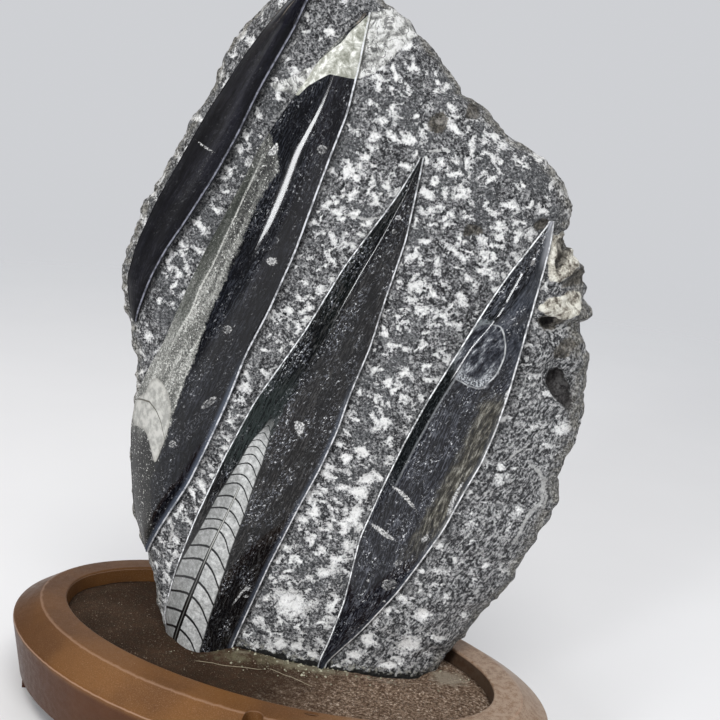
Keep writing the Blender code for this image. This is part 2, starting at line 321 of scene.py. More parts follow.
# Cones: left and right edge, where the crest runs between them, and its height.
coneForms = {
    "upperCone": {
        "left": ((150, -79), (158, -80.5), (171, -81.8), (187, -77.8), (207, -69.3), (231, -57.5),
                 (253, -46.6), (274, -34), (298, -18.5), (309, -7)),
        "right": ((150, -78), (158, -75), (176, -68), (188, -62), (201, -54), (221, -43),
                  (240, -34), (261, -26), (287, -14), (299, -10.5), (309, -6)),
        "crest": ((150, 0.5), (200, 0.55), (260, 0.6), (309, 0.55)),
        "round": ((150, 0.7), (260, 0.7), (290, 0.4)),
        "height": ((150, 1), (165, 6), (210, 9), (260, 8.4), (284, 8.4), (299, 10), (305, 7),
                   (309, 2)),
    },
    "largeCone": {
        "left": ((38, -66), (60, -74), (98, -77.5), (112, -75.5), (120, -72.5), (128, -69.3),
                 (136, -65.3), (143, -61.3), (172, -50.5), (187, -44.6), (200, -38.8), (211, -34),
                 (223, -28.6), (235, -24.3), (243.4, -19.8), (252, -15.2), (262, -9.2), (277, -1),
                 (297, 15.5)),
        "right": ((38, -65), (51, -59), (61, -54), (80, -44), (101, -36), (121, -29),
                  (145, -22), (166, -13.4), (194, -4), (221, 3), (254, 12), (276, 15),
                  (297, 16.5)),
        "crest": ((38, 0.6), (100, 0.62), (190, 0.69), (215, 0.72), (250, 0.67), (272, 0.56),
                  (297, 0.5)),
        "round": ((38, 0.2), (165, 0.2), (200, 0.26), (240, 0.3), (262, 0.12)),
        "height": ((38, 1.5), (60, 7), (110, 10), (190, 10), (250, 7), (280, 3), (297, 0.6)),
    },
    "chamberedCone": {
        "left": ((2, -51), (12, -52.5), (37, -47), (64, -39), (95, -28), (124, -16),
                 (159, 3.5), (190, 18), (222, 37), (240, 45.5)),
        "right": ((2, -17), (18, -12), (46, -3), (76, 8), (96, 16), (116, 22.5), (132, 26),
                  (156, 33), (177, 37), (204, 43), (224, 45), (240, 46.5)),
        "crest": ((2, 0.5), (100, 0.42), (174, 0.39), (190, 0.43), (222, 0.43), (240, 0.5)),
        "round": ((2, 0.2), (150, 0.2), (200, 0.12), (240, 0.12)),
        "height": ((2, 9), (60, 10), (130, 9), (190, 6), (225, 3), (240, 0.6)),
    },
    "spindleCone": {
        "left": ((2, 25), (14, 29), (35, 34), (67, 38), (94, 46), (115, 53), (136, 61),
                 (156, 70), (182, 82), (196, 89), (211, 98.5), (219, 103.5)),
        "right": ((2, 28), (21, 43), (43, 57.5), (59, 66), (77, 75), (95, 81.5), (111, 88),
                  (126, 92), (148, 96), (176, 100), (198, 103), (211, 104.6), (219, 104.4)),
        "crest": ((2, 0.5), (60, 0.4), (90, 0.25), (148, 0.2), (164, 0.27), (173, 0.38),
                  (187, 0.57), (201, 0.66), (219, 0.6)),
        "round": ((2, 0.25), (125, 0.3), (139, 1.1), (163, 1.2), (171, 0.35), (200, 0.3),
                  (219, 0.12)),
        "height": ((2, 1.5), (40, 6), (100, 9), (150, 8.4), (205, 4.8), (214, 3.2), (219, 0.8)),
    },
}
coneCut = {"row": 0.8, "columns": 54, "crestSharpness": 1.25, "lift": 0.9,
           # The side wall: steps outwards and down from the edge.
           "wall": ((0.3, 0.12), (0.5, 0.45), (0.6, 1.2), (0.3, 4.0))}


def faceDepth(across, heights):
    left, right = tableAt(stoneForm["left"], heights), tableAt(stoneForm["right"], heights)
    front, back = tableAt(stoneForm["front"], heights), tableAt(stoneForm["back"], heights)
    u = np.clip(np.abs((2 * across - left - right) / (right - left)), 0, 1)
    return front - 0.4 * (front - back) * u ** 6


def coneGap(form, across, heights):
    # Distance inside a cone's outline, in mm; negative outside it.
    low, high = form["left"][0][0], form["left"][-1][0]
    left, right = softTable(form["left"], heights), softTable(form["right"], heights)
    sideways = np.minimum(across - left, right - across) * 0.88
    return np.minimum(sideways, np.minimum(heights - low, high - heights) + 2.0)


def bigLumps(points, backShare):
    # The slow lumps that the plain solid has too; the foot stays plain.
    out = np.zeros(points.shape)
    flat, result = points.reshape(-1, 3), out.reshape(-1, 3)
    share = np.broadcast_to(backShare, points.shape[:-1]).ravel()
    for i, (across, height, depth) in enumerate(flat):
        if height <= 1.5:
            continue
        place = Vector((across, depth, height))
        fade = min(1.0, (height - 1.5) / 12)
        s = share[i]
        coarse = noise.noise_vector(place * 0.045) * (1.2 + 2.8 * s)
        fine = noise.noise_vector(place * 0.16 + Vector((9, 4, 2))) * (1.0 + 1.2 * s)
        ledge = round(noise.noise(place * 0.03) * 3) / 3 * 2.5 * s
        shift = (coarse + fine) * fade
        result[i] = (shift.x, 0, shift.y - ledge * fade)
    return out


def stoneRing(heights, u, onBack):
    # Places on the stone for a column of heights and a row of u from -1 to 1.
    h = heights[:, None]
    left, right = tableAt(stoneForm["left"], h), tableAt(stoneForm["right"], h)
    front, back = tableAt(stoneForm["front"], h), tableAt(stoneForm["back"], h)
    middle, half = (left + right) / 2, (right - left) / 2
    core = (front + back) / 2
    if onBack:
        depth = back + 0.7 * (core - back) * np.abs(u) ** 3
    else:
        depth = front - 0.8 * (front - core) * np.abs(u) ** 6
    across = middle + half * u + 0 * h
    tip = ease(heights, stoneForm["top"] - 5, stoneForm["top"])[:, None]
    across = middle + (across - middle) * (1 - 0.45 * tip)
    depth = core + (depth - core) * (1 - 0.45 * tip)
    return np.stack([across, h + 0 * across, depth], -1)


# Peck marks of the chisel: white bruised spots, thinner to the right of the spindle.
peckLook = {"spacing": 6.8, "length": (2.0, 4.6), "width": (1.0, 2.1), "depth": 0.6, "bend": 2.0,
            "smallShare": 0.7, "seed": 11}
topPatch = ((17, 297), (24.6, 300), (31.5, 298.3), (36.1, 294.7), (37.7, 291.7), (34.4, 287.3),
            (30, 282), (25.5, 276.6), (20.1, 271.9), (16.1, 269.9), (13.6, 269.2), (10.5, 269.4),
            (7, 269.8), (3.2, 270.1), (-0.8, 267.6), (-5.7, 264.2), (-9.5, 259.8), (-14.5, 260.5),
            (-19, 260.8), (-22.5, 263.5), (-17, 265.5), (-12, 267.8), (-9.6, 270.3),
            (-5.5, 272.4), (-1.5, 276.1), (3.1, 280.7), (6.1, 283.2), (7.6, 285.3), (9.8, 288.8),
            (13.7, 293))
# Larger bruises, each: across, height, half length, half width, tilt.
bruises = (
    (11.5, 82, 3.4, 2.6, 40), (15, 75.5, 3.2, 2.4, 0), (9.6, 71.5, 2.8, 2.2, 0),
    (15.4, 62.2, 3, 2.6, 60), (20.3, 57, 2.8, 2.4, 0), (3.3, 55, 2.6, 2.2, 0),
    (23.7, 47, 5.2, 3.2, 25), (34.9, 106.4, 2.6, 2.2, 0), (27.7, 102.4, 2.4, 2.2, 0),
    (45.5, 113, 3, 2.4, 30), (38.1, 94.1, 2.8, 2.4, 0), (34, 87.5, 4.6, 3.8, 20),
    (33.3, 76.3, 6.2, 3.4, 55), (29, 70.5, 4, 2.6, 100), (33, 61, 4.4, 2.8, 50),
    (28.3, 31.2, 5, 2.8, 75), (8.8, 29, 9.5, 6.2, -35), (13.8, 7.5, 3.2, 2.8, 0),
    (6, 8, 3.2, 3.4, 90), (21, 5.4, 3.8, 2.4, -20), (52.6, 32.3, 3.8, 2.4, 40),
    (59.5, 39.7, 3.2, 1.8, -50), (70.9, 33.3, 4, 3, 20), (66, 17, 6.5, 4.2, 50),
    (73.9, 48.3, 2.4, 2, 0), (66.5, 54.3, 2.2, 2, 0), (47.5, 16.7, 4.6, 3, 60),
    (41, 7.5, 5, 2.4, 35), (57.7, 5.2, 3.6, 2, 0), (77.2, 21, 3.8, 2, -30),
    (95.9, 107.8, 1.7, 1.6, 0), (88.9, 72.4, 1.8, 1.5, 0), (80.8, 62.2, 1, 2.8, 20),
    (120.4, 127.4, 4.2, 3.4, 30), (-4.2, 168.1, 2.6, 2, 60), (0.2, 173, 2, 1.7, 0),
    (4.1, 173.6, 2, 1.6, 40), (7.2, 178.2, 2.2, 1.7, 40), (12, 182.5, 2, 1.6, 40),
    (2.5, 168.6, 3, 1.8, 35), (26, 193, 3, 2.6, 30), (50, 226, 2.6, 1.6, 0), (101, 251, 3, 1.8, 70),
)
# Small blots in the upper right and the middle, each: across, height.
blots = (
    (30.2, 259), (41.5, 256.4), (26.5, 252.7), (24.2, 246.6), (31.5, 247.9), (39.2, 246.8),
    (57.8, 252.8), (65.3, 247.8), (65.8, 244), (63.9, 239.9), (78.9, 241.4), (60.7, 234.1),
    (63.2, 230), (65.2, 226.3), (75.6, 233.8), (88.3, 233.6), (85.2, 224.6), (93, 225.3),
    (98.4, 222.6), (51.6, 231.6), (49.3, 224.7), (68.3, 217.6), (82.1, 214.6), (53.4, 211.8),
    (47.4, 198.9), (50.6, 205.4), (23.2, 275.2), (30.5, 273.1), (47.4, 268.1), (48.3, 272.1),
    (24.5, 268.6), (37.8, 277.7), (39, 235), (54.6, 238.8), (73.5, 251.4), (45.9, 252.5),
    (30.2, 148.4), (35.7, 144.3), (41.7, 140.5), (45.2, 138.2), (29.5, 133.9), (38, 132),
    (46.4, 114.7), (38.1, 122.9), (42.2, 121), (25, 123.8), (35.2, 106.1), (27.3, 101.9),
    (34.7, 85.6), (37.5, 93.1), (42.8, 96.5), (60.4, 144), (48.3, 146),
)
# Smoother grey patches, each: across, height, half length, half width.
smoothPatches = ((35.6, 263.5, 9, 8), (55, 269, 10, 6), (75, 249, 11, 8), (97, 237, 10, 9),
                 (74, 221, 7, 9), (38, 127, 7, 6), (34, 112, 6, 7), (26, 92, 7, 6), (88, 258, 8, 6),
                 (12, 246, 7, 9), (45, 218, 7, 5), (-53, 262, 6, 14), (-66, 238, 6, 16),
                 (-77, 212, 6, 14), (-40, 287, 6, 12), (-60, 166, 7, 14), (-47, 198, 7, 14),
                 (-33, 230, 6, 14), (-22, 255, 5, 9))
# Thin pale strokes on the face, each a run of points and its half width.
strokes = (
    (((23.7, 50), (28.5, 50.2), (31.3, 46.5), (31.2, 41)), 0.5),
    (((2, 38), (11, 35.5), (17.5, 28), (17.5, 21)), 0.5),
    (((98.4, 110.9), (102, 115), (107.2, 120.3)), 0.6),
    (((108.7, 111), (114.1, 106), (117.3, 99), (117, 92), (113, 86), (109, 79), (106.7, 71)), 1.1),
    (((112.5, 109.4), (117.5, 102), (119.3, 95.5), (117.8, 88.5)), 0.6),
    (((102.5, 173.9), (106.8, 172.3), (109.8, 171.3), (113.1, 172.9), (117, 176)), 0.6),
    (((103.2, 148), (103, 151.5), (105.3, 152.6), (107.6, 151), (107.6, 148), (105.5, 146.8),
      (103.2, 148)), 0.5),
    (((-58, 66), (-56, 59), (-58.5, 52)), 0.9), (((-53.5, 64), (-50.5, 56), (-52, 48)), 0.8),
    (((-61.5, 58), (-60, 51), (-62, 44)), 0.8), (((-51, 84), (-49, 76)), 0.7),
    (((-45, 92), (-44, 84), (-46, 79)), 0.7), (((25, 157), (31, 149), (36.5, 143)), 0.9),
    (((30.5, 164), (35, 157)), 0.8), (((52, 176), (57, 168), (60.5, 160)), 0.5),
    (((47, 183), (53, 177), (57.5, 172)), 0.6), (((16, 212), (25, 211), (33, 213)), 0.8),
    (((49, 243), (57, 244.5)), 0.8),
)


def peckMarks(look):
    source = np.random.default_rng(look["seed"])
    marks = [(s, h, math.radians(tilt), long, wide, 1.0) for s, h, long, wide, tilt in bruises]
    for s, h in blots:
        angle, long = source.normal(-0.45, 0.8), source.uniform(2.0, 3.6)
        marks.append((s, h, angle, long, source.uniform(1.2, 1.9), 1.0))
    step = look["spacing"]
    for row, height in enumerate(np.arange(2, 309, step * 0.9)):
        for across in np.arange(-90, 130, step) + (row % 2) * step / 2:
            for small in (False, True):
                s = across + source.uniform(-0.5, 0.5) * step
                h = height + source.uniform(-0.5, 0.5) * step
                angle = source.normal(-0.45, 0.6)
                long = source.uniform(*look["length"]) * (0.5 if small else 1)
                wide = min(long, source.uniform(*look["width"]) * (0.6 if small else 1))
                strength = source.uniform(0.55, 1.0)
                luck = source.uniform()
                right = s > tableAt(coneForms["spindleCone"]["right"], h) + 3 and h < 215
                settled = any(math.hypot(s - a, h - b) < 7 for a, b in blots)
                settled = settled or any(math.hypot(s - m[0], h - m[1]) < 4 for m in bruises)
                calm = s < tableAt(coneForms["largeCone"]["left"], h) or h > 250
                shy = 0.55 if settled else 0.6 if calm else 1
                keep = 0.24 if right else 0.86 + 0.45 * noise.noise(Vector((s, h, 0)) * 0.035)
                if luck < keep * shy * (look["smallShare"] if small else 1):
                    marks.append((s, h, angle, long, wide,
                                  strength * (0.8 if right else 1) * (0.8 if settled else 1)))
    return marks


def turned(x, y, angle):
    return x * math.cos(angle) - y * math.sin(angle), x * math.sin(angle) + y * math.cos(angle)


def peckField(across, heights, marks):
    field = np.zeros(across.shape)
    rowHeights = heights[:, 0]
    for s, h, angle, long, wide, strength in marks:
        low, high = np.searchsorted(rowHeights, (h - 2 * long, h + 2 * long))
        if low == high:
            continue
        ds, dh = across[low:high] - s, heights[low:high] - h
        run = (ds * math.cos(angle) + dh * math.sin(angle)) / long
        side = (dh * math.cos(angle) - ds * math.sin(angle)) / wide
        bump = strength * np.exp(-(run * run + side * side))
        field[low:high] = np.maximum(field[low:high], bump)
    return field


# Filling: gritty set sand, banked up against the stone's foot.
fillingForm = {"level": slabPlane["filling"], "underside": 17.4, "edge": 0.5, "rings": 74,
               "around": 420,
               "banks": ((-10, 12, 16, 7, 3.2), (20, 16, 26, 6, 1.2), (60, 18, 22, 6, 1.0),
                         (-40, 10, 14, 8, 1.5)),
               "gap": {"depth": 3.0, "width": 1.6, "start": (-14, -8), "end": (-76, -70)},
               "powder": ((86, 0, 10, 8, 1.0), (58, 15, 14, 3, 0.6), (-9, 14, 9, 2.5, 0.5),
                          (20, 14, 18, 4.5, 0.9)),
               "moss": ((14, 14, 30, 6, 1.0), (-14, 17, 18, 6, 0.7))}


def slabPlace(x, y):
    turn = math.radians(slabPlane["turn"])
    return x * math.cos(turn) + y * math.sin(turn), x * math.sin(turn) - y * math.cos(turn)


def heap(across, depth, spots):
    amount = np.zeros(np.shape(across))
    for s, n, long, wide, strength in spots:
        amount = np.maximum(amount, strength * np.exp(-((across - s) / long) ** 2
                                                      - ((depth - n) / wide) ** 2))
    return amount


def fillingHeight(x, y, grooved=True):
    # Height of the filling's surface in mm at world places in mm.
    across, depth = slabPlace(x, y)
    height = fillingForm["level"] + 0 * x
    for s, n, long, wide, rise in fillingForm["banks"]:
        height = height + rise * np.exp(-((across - s) / long) ** 2 - ((depth - n) / wide) ** 2)
    if not grooved:
        return height
    foot = faceDepth(across, 1.0 + 0 * across)
    for form in coneForms.values():
        if form["left"][0][0] < 5:
            left, right = form["left"][0][1], form["right"][0][1]
            foot = np.where((across > left) & (across < right), foot + form["height"][0][1], foot)
    gap = fillingForm["gap"]
    groove = np.exp(-((depth - foot - 0.3) / gap["width"]) ** 2)
    groove = groove * ease(across, *gap["start"]) * ease(-across, *gap["end"])
    height = height - gap["depth"] * groove
    place = np.stack([x, y, 0 * x], -1)
    return height + lumps(place, 12.0, 20, 3) * 0.5 + lumps(place, 2.2, 21, 2) * 0.22


def limestonePaint():
    paint = Paint("peckedLimestone", 0.7, 0.3)
    marks = ("peck", "cream", "crystal", "pit", "quiet", "rim", "stroke", "umber")
    peck, cream, crystal, pit, quiet, rim, stroke, umber = (paint.value(mark) for mark in marks)
    fine, grain = paint.noise(0.95, 2, 0.6), paint.noise(1.8, 5, 0.8)
    mid = paint.noise(4.0, 4, 0.65, twist=0.4)
    broad, crumb = paint.noise(16, 3, 0.5), paint.noise(1.15, 3, 0.7, twist=0.5)
    facets = paint.node("SeparateXYZ", {0: paint.cells(1.0, output="Color")}).outputs[0]

    # Dark grey ground with crisp light and black grains, calmer in the smoother patches.
    tone = paint.plus(paint.plus(grain, paint.around(fine, 0.75)),
                      paint.plus(paint.around(mid, 0.3), paint.around(facets, 0.16)))
    tone = paint.plus(tone, paint.mask(broad, 0.3, 0.7, -0.03, 0.05))
    ground = paint.ramp(tone, (0.34, (0.012, 0.012, 0.014)), (0.45, (0.075, 0.076, 0.081)),
                        (0.53, (0.165, 0.168, 0.173)), (0.61, (0.3, 0.303, 0.308)),
                        (0.72, (0.6, 0.6, 0.6)))
    calm = paint.ramp(paint.plus(fine, paint.around(grain, 0.5)), (0.36, (0.04, 0.042, 0.045)),
                      (0.5, (0.092, 0.096, 0.102)), (0.64, (0.175, 0.18, 0.185)))
    calmShare = paint.plus(paint.value("smooth"), paint.plus(paint.mask(broad, 0.5, 0.62, 0, 0.8),
                                                             paint.around(grain, 0.9)))
    ground = paint.colour(paint.mask(calmShare, 0.3, 0.7, 0, 0.85), ground, calm)
    slant = paint.node("Mapping", {"Vector": paint.place,
                                   "Rotation": (0, math.radians(-35), 0)}).outputs[0]
    hatch = paint.noise(1.1, 3, 0.7, slant, (1, 1, 0.18))
    hatched = paint.ramp(paint.plus(paint.plus(hatch, paint.around(grain, 0.7)),
                                    paint.around(facets, 0.16)), (0.38, (0.012, 0.012, 0.014)),
                         (0.46, (0.075, 0.077, 0.082)), (0.54, (0.21, 0.213, 0.217)),
                         (0.62, (0.6, 0.6, 0.6)))
    ground = paint.colour(paint.times(quiet, 0.9), ground, hatched)
    ground = paint.colour(paint.mask(crumb, 0.59, 0.63, 0, 0.8), ground, (0.5, 0.5, 0.505))
    pits = paint.mask(crumb, 0.36, 0.4, 0.9, 0)
    ground = paint.colour(pits, ground, (0.005, 0.005, 0.006))
    # White bruised stone with ragged edges, whitest in the middle.
    edge = paint.plus(paint.plus(peck, paint.around(grain, 1.3)),
                      paint.plus(paint.around(fine, 0.75), paint.around(facets, 0.3)))
    edge = paint.plus(edge, paint.around(mid, 0.8))
    bruised = paint.ramp(edge, (0.28, (0.33, 0.333, 0.337)), (0.44, (0.56, 0.562, 0.565)),
                         (0.64, (0.85, 0.85, 0.845)), (0.88, (1.0, 1.0, 0.99)))
    bruised = paint.colour(paint.mask(crumb, 0.35, 0.45, 0.6, 0), bruised, (0.16, 0.162, 0.165))
    stone = paint.colour(paint.mask(edge, 0.29, 0.37), ground, bruised)
    pale = paint.mask(paint.plus(stroke, paint.plus(paint.around(grain, 2.4),
                                                    paint.around(fine, 1.4))), 0.0, 0.6, 0, 0.75)
    stone = paint.colour(pale, stone, (0.62, 0.62, 0.61))
    # Painted shade along the foot where the stone leaves the sand, and pale powder on its lowest
    # few mm.
    foot = paint.plus(paint.value("foot"), paint.around(mid, 9))
    powder = paint.times(paint.mask(foot, 1.5, 5, 0.7, 0), paint.mask(grain, 0.48, 0.58))
    stone = paint.colour(powder, stone, (0.34, 0.33, 0.27))
    stone = paint.colour(paint.mask(foot, 0.5, 1.2, 0.96, 0), stone, (0.006, 0.006, 0.005))
    # Dusty weathered rim.
    dust = paint.times(rim, paint.mask(paint.noise(6, 4, 0.6), 0.35, 0.6))
    dustAndLight = paint.ramp(paint.plus(grain, paint.around(fine, 0.6)), (0.36, (0.035, 0.033, 0.028)),
                       (0.49, (0.17, 0.16, 0.135)), (0.6, (0.5, 0.48, 0.43)))
    stone = paint.colour(paint.times(dust, 0.75), stone, dustAndLight)
    # Cream calcite with grey veins, pale crystals, olive rock and dark hollows.
    ragged = paint.around(paint.noise(3.5, 5, 0.7), 9)
    creamEdge = paint.mask(paint.plus(cream, paint.times(ragged, 0.22)), -0.4, 0.4)
    cloudy = paint.noise(4.5, 5, 0.62, twist=0.5)
    calcite = paint.ramp(paint.plus(cloudy, paint.around(fine, 0.25)),
                         (0.34, (0.1, 0.102, 0.1)), (0.42, (0.33, 0.332, 0.32)),
                         (0.5, (0.6, 0.602, 0.58)), (0.58, (0.9, 0.9, 0.885)))
    vein = paint.absolute(paint.minus(paint.noise(9, 4, 0.6, twist=0.7), 0.5))
    calcite = paint.colour(paint.mask(vein, 0.006, 0.02, 0.75, 0), calcite, (0.1, 0.1, 0.1))
    stone = paint.colour(creamEdge, stone, calcite)
    close = paint.around(paint.noise(2.2, 4, 0.7), 3)
    sugary = paint.ramp(paint.plus(cloudy, paint.around(grain, 0.9)),
                        (0.33, (0.09, 0.075, 0.058)), (0.42, (0.34, 0.31, 0.26)),
                        (0.5, (0.6, 0.57, 0.49)), (0.62, (0.95, 0.93, 0.84)))
    stone = paint.colour(paint.mask(paint.plus(crystal, close), -0.3, 0.4), stone, sugary)
    olive = paint.ramp(paint.plus(grain, paint.around(cloudy, 0.5)), (0.38, (0.012, 0.011, 0.009)),
                       (0.48, (0.06, 0.053, 0.042)), (0.58, (0.16, 0.145, 0.12)),
                       (0.68, (0.36, 0.33, 0.28)))
    stone = paint.colour(paint.mask(paint.plus(umber, close), -0.3, 0.5, 0, 0.85), stone, olive)
    hollow = paint.ramp(grain, (0.4, (0.012, 0.01, 0.011)), (0.6, (0.05, 0.044, 0.042)))
    stone = paint.colour(paint.mask(paint.plus(pit, close), -0.3, 0.8, 0, 0.9), stone, hollow)
    height = paint.plus(paint.times(fine, 0.35), paint.times(grain, 0.9))
    height = paint.plus(height, paint.times(pits, -0.25))
    return paint.finish(stone, None, height, 1.7, 1.0)


def buildStoneFace(finish):
    form = stoneForm
    heights = np.linspace(form["foot"], form["top"], form["faceRows"])
    u = np.linspace(-1, 1, form["faceColumns"])
    face = stoneRing(heights, u, False)
    back = stoneRing(heights, np.array([-1.0, 1.0]), True)
    steps = np.linspace(0, 1, form["rimColumns"] + 1)[:-1][None, :, None]
    bulge = np.sin(steps[..., 0] * math.pi) * form["rimBulge"]
    leftRim = back[:, :1] * (1 - steps) + face[:, :1] * steps
    rightRim = face[:, -1:] * (1 - steps) + back[:, 1:] * steps
    leftRim[..., 0] -= bulge
    rightRim[..., 0] += bulge
    rightRim = np.concatenate([rightRim[:, 1:], back[:, 1:]], 1)
    grid = np.concatenate([leftRim, face, rightRim], 1)
    count = grid.shape[1]
    side = np.zeros(count)
    rim = form["rimColumns"]
    side[:rim] = 1 - steps[0, :, 0]
    side[-rim:] = np.linspace(0, 1, rim + 1)[1:]
    across, height = grid[..., 0].copy(), grid[..., 1].copy()
    shift = bigLumps(grid, side[None, :] * 0.5)
    # Close to a cone the face is cut level, a little under the cone's edge.
    gap = np.full(across.shape, -1e9)
    for cone in coneForms.values():
        gap = np.maximum(gap, coneGap(cone, across, height))
    near = ease(gap, -5.0, -0.4)[..., None]
    shift[..., 2:] = shift[..., 2:] * (1 - near) - form["besideCone"] * near
    for s, h, radius, depth in form["hollows"]:
        reach = np.hypot(across - s, height - h) / radius
        shift[..., 2] -= depth * np.clip(1 - reach * reach, 0, 1)
    grid = grid + shift
    grid[..., 2] -= form["underCone"] * ease(gap, 0.4, 2.2)
    # Fine relief along the surface: broken grain, pecks, a rougher rim.
    normals = surfaceNormals(grid)
    wobble = np.stack([lumps(grid, 2.6, 3), lumps(grid, 2.6, 4)], -1)
    bend = peckLook["bend"]
    peck = peckField(across + wobble[..., 0] * bend, height + wobble[..., 1] * bend,
                     peckMarks(peckLook))
    flat = np.stack([across, height], -1)
    patches = {}
    bent = [across + wobble[..., 0] * 0.6, height + wobble[..., 1] * 0.6]
    for kind, outlines in form["rocks"].items():
        patches[kind] = np.full(across.shape, -9.0)
        for outline in outlines:
            patches[kind] = np.maximum(patches[kind], insideBy(np.stack(bent, -1),
                                                               smoothOutline(outline, 3)))
    rough = ease(np.abs(u), 0.93, 1.0)
    rimShare = np.concatenate([np.ones(rim), rough, np.ones(rim)])[None, :]
    spindleRight = tableAt(coneForms["spindleCone"]["right"], height)
    quiet = ease(across - spindleRight, 2, 8) * ease(-height, -225, -205) * (1 - rimShare)
    free = 1 - ease(gap, -1.2, 0)
    relief = lumps(grid, 2.1, 5, 2) * 0.34 + lumps(grid, 7.0, 6, 2) * 0.6
    relief = relief * (1 + 0.8 * rimShare) + lumps(grid, 10.0, 7, 3) * 0.4 * rimShare
    relief = relief + lumps(grid, 3.0, 14, 2) * 0.4 * rimShare
    relief = relief * (0.25 + 0.75 * free) - peck * peckLook["depth"] * free
    relief = relief - form["pitDepth"] * ease(patches["pit"], -0.6, 1.2)
    relief = relief + form["crystalRise"] * ease(patches["crystal"], -0.3, 1.0)
    relief = relief - form["umberDepth"] * ease(patches["umber"], -0.3, 1.0)
    grid = grid + normals * (relief * ease(height, -2, 4))[..., None]
    smooth = np.zeros(across.shape)
    for s, h, long, wide in smoothPatches:
        smooth = np.maximum(smooth, np.exp(-((across - s) / long) ** 2
                                           - ((height - h) / wide) ** 2))
    thin = np.full(across.shape, -1.0)
    for line, half in strokes:
        thin = np.maximum(thin, 1 - fromLine(flat, line) / half)
    place = toWorld(grid) * 1000
    aboveSand = np.clip(place[..., 2] - fillingHeight(place[..., 0], place[..., 1], False), -3, 9)
    values = {"peck": peck * free, "foot": aboveSand, "quiet": quiet, "smooth": smooth,
              "rim": rimShare + 0 * across,
              "cream": np.clip(insideBy(flat, topPatch), -4, 4), "stroke": thin, **patches}
    return closedShell("stoneFace", grid, finish, values)


def buildStoneBack(finish):
    form = stoneForm
    heights = np.linspace(form["foot"], form["top"], form["backRows"])
    u = np.linspace(1, -1, form["backColumns"])
    back = stoneRing(heights, u, True)
    tuck = back[:, [0, -1]].copy()
    tuck[:, 0, 0] -= 1.5
    tuck[:, 1, 0] += 1.5
    tuck[..., 2] += 5
    grid = np.concatenate([tuck[:, :1], back, tuck[:, 1:]], 1)
    share = np.concatenate([[0.5], 1 - 0.5 * np.abs(u) ** 8, [0.5]])
    grid = grid + bigLumps(grid, share[None, :])
    normals = surfaceNormals(grid)
    relief = lumps(grid, 14.0, 8, 3) * 1.6 + lumps(grid, 4.0, 9, 2) * 0.5
    edges = np.concatenate([[0.0], 1 - np.abs(u) ** 30, [0.0]])[None, :]
    grid = grid + normals * (relief * edges * ease(grid[..., 1], -2, 6))[..., None]
    values = {"peck": ease(lumps(grid, 9.0, 10, 3), 0.25, 0.6) * 0.35, "foot": 9 + 0 * grid[..., 0],
              "quiet": 0.6 + 0 * grid[..., 0], "smooth": 0 * grid[..., 0],
              "rim": 0.5 + 0.7 * lumps(grid, 24.0, 11, 2), "cream": -9 + 0 * grid[..., 0],
              "stroke": -1 + 0 * grid[..., 0],
              "crystal": lumps(grid, 26.0, 12) * 5 - 3.0, "umber": lumps(grid, 18.0, 13) * 5 - 3.2,
              "pit": -9 + 0 * grid[..., 0]}
    return closedShell("stoneBack", grid, finish, values)


print("stone")
noise.seed_set(stoneForm["seed"])
limestone = limestonePaint()
stoneFace = buildStoneFace(limestone)
stoneBack = buildStoneBack(limestone)

# Marks in the polish, each: across, height, half length, half width, tilt, ring or spot.
coneMarks = {
    "upperCone": ((-47.2, 234.2, 6, 0.6, -21, "spot"),),
    "largeCone": ((-12.7, 189.2, 2.3, 2.1, 0, "spot"), (-29.5, 157, 2.3, 2.0, 20, "ring"),
                  (-35.9, 121.8, 4.4, 1.7, 45, "ring"), (-51.2, 100.1, 2.3, 1.7, 40, "ring"),
                  (3.8, 239, 2.2, 2, 0, "ring")),
    "chamberedCone": ((39, 214, 1.5, 1.1, 0, "ring"), (38, 208, 1.2, 1.1, 0, "ring"),
                      (-11, 35, 1.3, 1.2, 0, "spot"), (-11.5, 31, 1.2, 1.0, 0, "spot"),
                      (-14, 32, 7, 0.6, 60, "spot")),
    "spindleCone": ((53.9, 48.1, 3.6, 3.5, 0, "ring"), (52.5, 38.9, 0.8, 0.8, 0, "spot"),
                    (57, 59.8, 2, 1.6, 30, "ring"), (44.4, 49, 0.8, 0.8, 0, "spot"),
                    (67.5, 72.5, 2.6, 1.3, 55, "spot")),
}
# Pale chips in the polish, as small outlines.
coneChips = {
    "largeCone": (((-17, 238.6), (-15.6, 239.6), (-15.2, 234.6), (-20, 233.7)),),
    "chamberedCone": (((3.7, 119.7), (8.8, 118.4), (6.5, 112.2)),),
    "spindleCone": (((48.6, 96.2), (53.6, 95.6), (58.6, 91.9), (62.6, 86), (61, 86.6), (57.2, 90.3),
                     (53, 93.8)),
                    ((41.6, 75.6), (46.6, 75.9), (51.6, 73.4), (54.6, 70.6), (50.4, 71.2),
                     (46.2, 73.2)),
                    ((81.3, 101), (79.2, 94), (77.6, 86), (75.6, 84.6), (76.4, 91), (78.8, 98.4)),
                    ((96.4, 147.5), (96.8, 142), (94.4, 139), (93.6, 142.5), (94.8, 146))),
}
bandEdge = ((60, -60), (80, -61.5), (95.5, -56), (108, -53), (124, -49.2), (139, -44.6),
            (151, -41.4), (164, -37.8), (173, -34.5), (184, -30.7), (193, -27.8), (205.6, -24),
            (214.3, -21), (222.8, -16.6), (228.4, -13.6), (234, -14.6), (238, -17.5), (244, -20.5),
            (262, -10), (297, 15))
bandRidge = ((130, -62), (149, -54.5), (162, -47.5), (171, -45.4), (184, -39.4), (187, -38.3),
             (202, -33), (213.6, -28.8), (232, -22))
